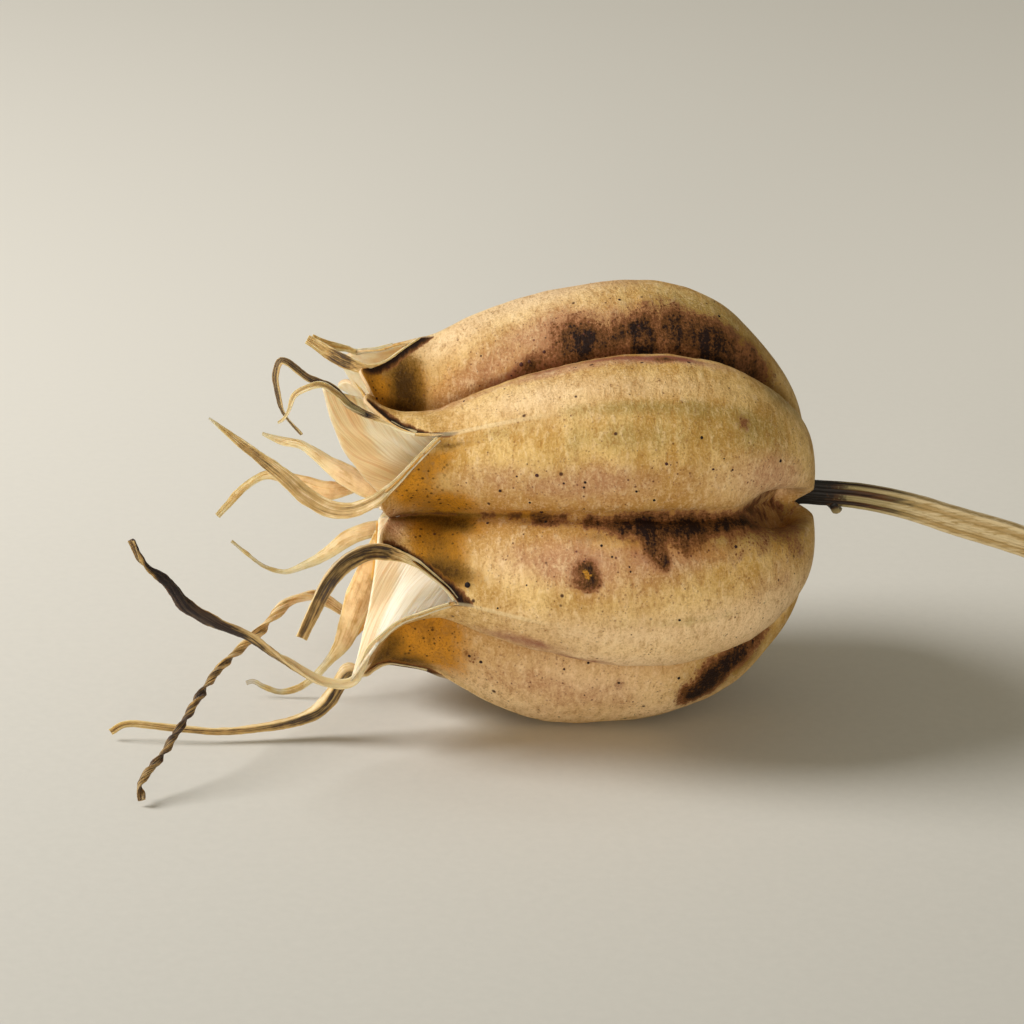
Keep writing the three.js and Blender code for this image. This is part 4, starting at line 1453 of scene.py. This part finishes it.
# lobe and side say which edge of a split crest a strap grows on, and steps how far along that edge it goes.
# A strap with no steps starts inside the mouth or forks off its neighbour. widths and tones are stops from
# root to tip. roll turns the whole strap, and twist its tip. A tone goes from pale, 0, to black, 1. split is
# how much darker one face is than the other, and warm how amber the root is. The free points are (s, y, z)
# from the capsule's axis.
HALF_STYLES = [HalfStyle(*row) for row in (
    (4, 1, 5, (0.4, 0.5, 0.5, 0.5), -90, 0, 0.2, 0.1, (0.1, 0.1, 0.2, 0.4), 0.1, 0.1, [
        (26.1, 2.0, 8.7), (27.3, 1.3, 9.2), (28.1, 0.8, 9.7)]),
    (4, -1, 7, (0.8, 0.75, 0.65, 0.5), -78, 0, 0.22, 0.3, (0.6, 0.5, 0.3, 0.2), 0.2, 0.2, [
        (26.3, -0.5, 8.7), (27.3, 0.1, 9.1), (28.0, 0.5, 9.5), (28.4, 0.7, 9.7)]),
    (3, 1, 3, (0.45, 0.5, 0.45, 0.28), 0, 30, 0.36, 0.3, (0.75, 0.62, 0.5, 0.5), 0.3, 0.0, [
        (25.5, -4.7, 7.0), (26.6, -4.5, 7.6), (27.4, -4.2, 8.4), (28.7, -3.9, 8.9), (30.2, -3.4, 9.8),
        (30.5, -3.5, 9.0), (30.4, -3.8, 8.1), (30.1, -4.0, 7.0), (29.1, -4.2, 5.8)]),
    (3, 0, 0, (0.2, 0.5, 0.5, 0.25), 0, 60, 0.32, 0.4, (0.3, 0.1, 0.2), 0.3, 0.0, [
        (25.5, -4.7, 7.0), (26.6, -4.6, 7.6), (27.2, -4.6, 8.2), (28.1, -4.7, 8.8), (28.9, -4.9, 8.7),
        (29.6, -5.0, 8.3), (29.9, -5.1, 7.5), (30.2, -5.1, 7.0), (30.5, -5.1, 6.8)]),
    (3, -1, 7, (0.7, 0.95, 1.0, 0.8, 0.5, 0.15), 0, 25, 0.26, 0.3, (0.22, 0.3, 0.26, 0.36, 0.1), 0.2, 0.0, [
        (25.3, -7.6, 3.1), (26.5, -7.2, 2.4), (27.7, -6.7, 2.3), (29.0, -6.2, 2.9), (30.2, -5.7, 3.9),
        (32.4, -4.6, 5.4), (34.2, -3.8, 6.7)]),
    (2, 1, 5, (0.9, 1.1, 0.95, 0.75), 0, 10, 0.30, 0.8, (0.68, 0.52, 0.4), 0.25, 0.0, [
        (24.9, -8.6, 0.5), (26.0, -9.2, 0.75), (27.2, -9.8, 0.4), (28.1, -10.2, -0.4), (28.7, -10.4, -1.5),
        (29.7, -11, -3.5)]),
    (2, -1, 7, (0.55, 0.7, 0.85, 0.8, 0.7, 0.5), 0, 300, 0.36, 0.5,
     (0.05, 0.35, 0.75, 0.95, 1.0), -0.35, 0.0, [
        (26.5, -8.5, -7.2), (28.0, -8.9, -7.1), (30.2, -9.5, -5.6), (32.4, -10.5, -3.6), (34.3, -11.4, -2.4),
        (35.9, -12, -1.1), (37.0, -12.6, 0.6), (38.2, -13.2, 1.8), (38.9, -13.5, 3.3)]),
    (1, 1, 7, (1.4, 1.3, 0.7, 0.5, 0.45, 0.4), 0, 60, 0.34, 0.5, (0.5, 0.55, 0.4, 0.25, 0.3), 0.3, 0.0, [
        (26.4, -5.3, -7.8), (27.1, -5.3, -8.8), (27.8, -5.4, -9.8), (28.8, -5.4, -10.5), (30.7, -5.5, -11.0),
        (33.7, -5.6, -11.2), (36.3, -5.4, -11.0), (38.9, -5.0, -10.9), (39.7, -4.9, -11.4)]),
    (1, 0, 0, (1.0, 1.4, 1.7, 1.3, 0.6, 0.4, 0.36, 0.3), -17, 0, 0.16, 0.2,
     (0.1, 0.15, 0.3, 0.4, 0.55), 0.1, 1.0, [
        (23.8, 1.9, -2.4), (24.9, 1.0, -5.1), (25.7, 0.5, -7.1), (26.3, 0.2, -8.6), (27.0, 0.1, -9.5),
        (27.8, 0.2, -10.5), (28.8, 0.4, -11.3), (29.8, 0.5, -11.5), (30.7, 0.6, -11.2), (31.3, 0.7, -10.9),
        (31.7, 0.7, -11.0)]),
    (0, 1, 7, (0.75, 0.6, 0.5, 0.5, 0.5), 0, 2400, 0.55, 0.5, (0.25, 0.4, 0.75, 0.9, 0.85), 0.1, 0.3, [
        (27.1, 2.0, -6.5), (28.0, 1.4, -6.0), (29.2, 0.6, -6.0), (31.4, -2.6, -6.7), (33.8, -6.2, -7.3),
        (35.5, -9.6, -8.2), (37.1, -11.8, -9.7), (38.5, -13.5, -10.9), (38.4, -14, -11.5)]),
    (0, 0, 0, (0.9, 1.0, 1.0, 0.7, 0.3, 0.24, 0.2), -8, 10, 0.18, 0.3, (0.0, 0.0, 0.1, 0.4, 0.6), 0.1, 0.7, [
        (22.2, 5.6, -3.4), (23.0, 6.2, -3.7), (24.2, 6.6, -4.0), (25.3, 7.0, -4.6), (26.5, 7.2, -5.6),
        (27.7, 7.5, -6.4), (28.9, 7.7, -6.9), (30.1, 7.9, -6.6), (31.1, 8.2, -5.9), (32.0, 8.5, -5.2)]),
    (5, 1, 7, (1.2, 0.9, 0.55, 0.5, 0.4), 30, -25, 0.24, 0.3, (0.1, 0.2, 0.4, 0.6), 0.1, 0.6, [
        (26.3, 7.6, -1.8), (28.0, 8.2, -1.5), (29.9, 8.8, -1.2), (31.2, 9.0, -2.0), (32.2, 9.0, -3.1),
        (32.8, 9.0, -3.8)]),
    (5, -1, 0, (1.0, 1.4, 1.5, 1.0, 0.7, 0.7, 0.35), 35, 20, 0.18, 0.3, (0.0, 0.05, 0.3), 0.1, 0.6, [
        (23.4, 5.6, -1.6), (24.6, 6.3, -1.0), (25.6, 7.0, -0.5), (26.4, 7.5, -0.1), (27.2, 8.0, 0.4),
        (28.1, 8.5, 0.8), (29.0, 8.8, 0.9), (30.2, 9.0, 1.3)]),
)]
print("half-styles and a fork", len(HALF_STYLES))

# %% [markdown]
# ## Sweeping a section
# The straps and the stem are both a closed section drawn along a line. The line's points carry half the
# width and the direction of the width, so one shared step can sweep any section. What a section's points
# know, such as how far across they are, rides along on the swept skin.

# %% The tree of a strap
GROOVES = 15
FACE_POWER = 0.6
# A dark strap died first, so it is crumpled more, unless it is thin.
DARK_CRUMPLE = 2.2
LEAST_CRUMPLE = 0.6
THIN_HALF = 0.4 * MM


def round_the_ring(board, given):
    """The angle of a point of the section."""
    return board.get("GeometryNodeInputIndex") / given["Sides"] * math.tau


def sweep(board, given, section, **kept):
    """A section drawn along the tree's path, with values of the section kept on the skin."""
    path = board.get("GeometryNodeMeshToCurve", {"Mesh": given["Path"]})
    feeds = {"Curve": path, "Normal": named(board, "wide", "FLOAT_VECTOR")}
    path = board.get("GeometryNodeSetCurveNormal", feeds, mode="FREE")
    ring = board.get("GeometryNodeCurvePrimitiveCircle", {"Resolution": given["Sides"], "Radius": 1.0})
    ring = board.get("GeometryNodeSetPosition", {"Geometry": ring, "Position": section})
    ring = keep(board, ring, **kept)
    feeds = {"Curve": path, "Profile Curve": ring, "Scale": named(board, "half"), "Fill Caps": True}
    return board.get("GeometryNodeCurveToMesh", feeds)


def strap_tree():
    inputs = {
        "Path": ("Geometry", None),
        "Sides": ("Int", 30),
        "Thickness": ("Float", 0.3),
        "Fold": ("Float", 0.3),
        "Groove": ("Float", 0.06),
        "Crumple": ("Float", 0.08),
        "Material": ("Material", None),
    }
    board, given, sink = open_group("strap", "GeometryNodeTree", inputs, {"Strap": "Geometry"})
    turn = round_the_ring(board, given)
    x, y = board.math("COSINE", turn), board.math("SINE", turn)
    face = board.math("SIGN", y) * board.math("ABSOLUTE", y) ** FACE_POWER
    folded = (board.math("ABSOLUTE", x) - 0.5) * given["Fold"]
    grooves = board.math("COSINE", x * GROOVES) * given["Groove"] * board.math("ABSOLUTE", y)
    section = board.vector(x, face * (given["Thickness"] + grooves) + folded, 0.0)
    strap = sweep(board, given, section, across=x, face=y)
    dead = named(board, "tone") * DARK_CRUMPLE * board.least(named(board, "half") / THIN_HALF, 1.0)
    rough = swing(board.noise(spot_in_mm(board), 0.75, 3.0, 0.6), 2)
    rough = rough * given["Crumple"] * (dead + LEAST_CRUMPLE)
    strap = rest_on_table(board, push_out(board, strap, rough))
    return end_tree(board, strap, given["Material"], sink.inputs["Strap"])


STRAP_TREE = strap_tree()
print("strap tree", len(STRAP_TREE.nodes), "nodes")

# %% [markdown]
# ## Paths for the straps
# A strap starts on the torn edge that it grows on, as a thin rim, and leaves it for its own free points. The
# direction of its flat side is carried from point to point, so that it turns only as much as the path does,
# and a roll and a twist are added to that.

# %% Paths for the straps
STRAP_STEP = 0.13
EDGE_STRIDE = 2
RIM_WIDE = 0.34
RIM_TONE = 0.08
LEAVE_POWER = 3
WARM_POWER = 1.3


def strap_path(line, start_normal, roll, twist):
    """A line mesh that carries the direction of a strap's width at each point."""
    tangents = np.gradient(line, axis=0)
    tangents /= np.linalg.norm(tangents, axis=1)[:, None]
    flat = np.array(start_normal, float)
    run = np.linspace(0, 1, len(line))
    wide = []
    for tangent, share in zip(tangents, run):
        flat -= tangent * flat.dot(tangent)
        flat /= np.linalg.norm(flat)
        turned = Matrix.Rotation(math.radians(roll + twist * share ** 2), 3, Vector(tangent)) @ Vector(flat)
        wide.append(np.cross(turned, tangent))
    mesh = mesh_of(line, chain(line))
    write_attribute(mesh, "wide", wide, "FLOAT_VECTOR")
    write_attribute(mesh, "run", run)
    return mesh, run


def stops(share, values):
    """A value along a strap from evenly spaced stops."""
    return np.interp(share, np.linspace(0, 1, len(values)), values)


def dress_strap(mesh, run, leaves_at, style):
    """Widths and tones along a strap: a thin rim up to where it leaves the wall, then its own."""
    leave = np.clip(run / max(leaves_at, 0.001), 0, 1) ** LEAVE_POWER
    later = np.clip((run - leaves_at) / (1 - leaves_at), 0, 1)
    rim = RIM_WIDE + (style.widths[0] - RIM_WIDE) * leave
    width = np.where(run < leaves_at, rim, stops(later, style.widths))
    write_attribute(mesh, "half", width / 2 * MM)
    write_attribute(mesh, "tone", RIM_TONE + (stops(later, style.tones) - RIM_TONE) * leave)
    write_attribute(mesh, "split", style.split * leave)
    write_attribute(mesh, "warm", style.warm * leave * (1 - later) ** WARM_POWER)


def half_style(style):
    """One strap, from the torn edge that it grows on to its tip."""
    columns = [style.lobe * PER_LOBE + style.side * (EDGE_STRIDE * step + 1) for step in range(style.steps)]
    points = np.array([place(*p) for p in style.free])
    if columns:
        edge = inward(np.array([wall_line(column)[-1] for column in columns]), WALL_THICK / 2)
        points = np.vstack([edge, points])
    gaps = np.linalg.norm(np.diff(points, axis=0), axis=1) / MM
    leaves_at = gaps[:len(columns)].sum() / gaps.sum()
    line = smooth_line(points, int(gaps.sum() / STRAP_STEP))
    out = points[1] - np.array([points[1][0], AXIS_Y * MM, AXIS_Z * MM])
    path, run = strap_path(line, out, style.roll, style.twist)
    dress_strap(path, run, leaves_at, style)
    return grow("strap", path, STRAP_TREE, Thickness=style.thick, Fold=style.fold, Material=FINISH["style"])


def joined(name, meshes, finish):
    """One piece from several meshes that share a finish."""
    whole = bmesh.new()
    for mesh in meshes:
        whole.from_mesh(mesh)
    made = bpy.data.meshes.new(name)
    whole.to_mesh(made)
    whole.free()
    made.materials.append(finish)
    return new_piece(name, made)


styles = joined("styles", [half_style(row) for row in HALF_STYLES], FINISH["style"])
print("styles", len(styles.data.polygons), "faces")

# %% [markdown]
# ## The stem
# The stem is a stalk with six ribs, black where it enters the pod and straw-coloured beyond. It is one more
# sweep, with a section that carries the ribs. The dried stub of a bract hangs from its underside: a small
# grid of points, curled by a sum of sines, is enough for that.

# %% Stem
# Points of its middle line: distance from the base, which is negative outside the pod, and height.
STEM_LINE = [
    (0.85, 0.15), (0, 0.32), (-1.5, 0.2), (-3.4, 0), (-6.1, -0.6), (-9.75, -1.8), (-13.1, -2.9),
    (-18.5, -5.1), (-24.5, -8), (-31, -11.2),
]
STEM_RADIUS = (0.7, 0.88)
STEM_FULL_AT = 0.45
STEM_RIBS = 6
STEM_STEPS = 150
VALLEY_POWER = 0.7
FINE_RIBS = 3


def stem_tree():
    inputs = {
        "Path": ("Geometry", None),
        "Sides": ("Int", 96),
        "Ribs": ("Float", STEM_RIBS),
        "Rib Depth": ("Float", 0.14),
        "Fine Rib Depth": ("Float", 0.035),
        "Unevenness": ("Float", 0.035),
        "Material": ("Material", None),
    }
    board, given, sink = open_group("ribbed_stem", "GeometryNodeTree", inputs, {"Stem": "Geometry"})
    turn = round_the_ring(board, given)
    valley = (0.5 - board.math("COSINE", turn * given["Ribs"]) * 0.5) ** VALLEY_POWER
    fine = board.math("COSINE", turn * given["Ribs"] * FINE_RIBS) * given["Fine Rib Depth"]
    reach = 1 - valley * given["Rib Depth"] + fine
    section = board.vector(board.math("COSINE", turn) * reach, board.math("SINE", turn) * reach, 0.0)
    stem = sweep(board, given, section, rib=valley)
    rough = swing(board.noise(spot_in_mm(board), 0.8, 3.0, 0.6), 2) * given["Unevenness"]
    stem = rest_on_table(board, push_out(board, stem, rough))
    return end_tree(board, stem, given["Material"], sink.inputs["Stem"])


def make_stem():
    line = smooth_line([place(s, 0, z) for s, z in STEM_LINE], STEM_STEPS)
    path, run = strap_path(line, (0, 0, 1), 0, 0)
    swell = np.clip(run / STEM_FULL_AT, 0, 1)
    swell = swell * swell * (3 - 2 * swell)
    write_attribute(path, "half", (STEM_RADIUS[0] + (STEM_RADIUS[1] - STEM_RADIUS[0]) * swell) * MM)
    return grow("stem", path, stem_tree(), Material=FINISH["stem"])


stem_mesh = make_stem()
print("stem", len(stem_mesh.polygons), "faces")

# %% Bract
BRACT_AT = -1.9
BRACT_BELOW = 0.3
BRACT_LONG = 0.95
BRACT_WIDE = 1.0
BRACT_THICK = 0.5
BRACT_RUNS = 9
BRACT_ACROSS = 7


def make_bract():
    """A small curled scale that tapers to a torn end."""
    points, runs = [], []
    for i in range(BRACT_RUNS):
        for j in range(BRACT_ACROSS):
            u, v = i / (BRACT_RUNS - 1), j / (BRACT_ACROSS - 1) * 2 - 1
            half = BRACT_WIDE / 2 * (1 - 0.55 * u) * (1 + 0.12 * math.sin(5 * u))
            curl = 0.16 * v * v + 0.1 * math.sin(3 * u + 2 * v)
            s, z = BRACT_AT - 0.6 * BRACT_LONG * u + curl, -BRACT_BELOW - 0.75 * BRACT_LONG * u
            points.append(place(s, half * v, z))
            runs.append(0.03 + 0.14 * u)
    mesh = mesh_of(points, faces=grid_faces(BRACT_RUNS, BRACT_ACROSS))
    write_attribute(mesh, "run", runs)
    write_attribute(mesh, "rib", np.full(len(points), 0.55))
    mesh.materials.append(FINISH["stem"])
    piece = new_piece("bract", mesh)
    finish_with(piece, "SOLIDIFY", thickness=BRACT_THICK * MM, offset=0.0)
    finish_with(piece, "SUBSURF", levels=1, render_levels=1)
    made = piece.data
    bpy.data.objects.remove(piece)
    return made


stem = joined("stem_stalk", [stem_mesh, make_bract()], FINISH["stem"])
stem.data.shade_smooth()
print("stem with its bract", len(stem.data.polygons), "faces")

# %% [markdown]
# ## The table
# The pod lies on a plain, pale surface. It is stage, not part of the object, so one large square is enough.

# %% Table
TABLE_HALF = 900 * MM


def make_table():
    corners = [(x * TABLE_HALF, y * TABLE_HALF, 0) for x, y in ((-1, -1), (1, -1), (1, 1), (-1, 1))]
    mesh = mesh_of(corners, faces=[(0, 1, 2, 3)])
    mesh.materials.append(FINISH["floor"])
    return new_piece("table", mesh)


make_table()
print("table", TABLE_HALF * 2, "m wide")

# %% [markdown]
# ## Hand over
# Every piece rides on the one body. The wall, the scabs, the partitions and the styles stand for the solid
# capsule, and the stem for its own solid. The two boxes are kept, hidden from view and from the render.

# %% Hand over
for piece in (capsule_wall, scabs, partitions, styles):
    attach(piece, "root")
    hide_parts("capsule")
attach(stem, "root")
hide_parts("stem")
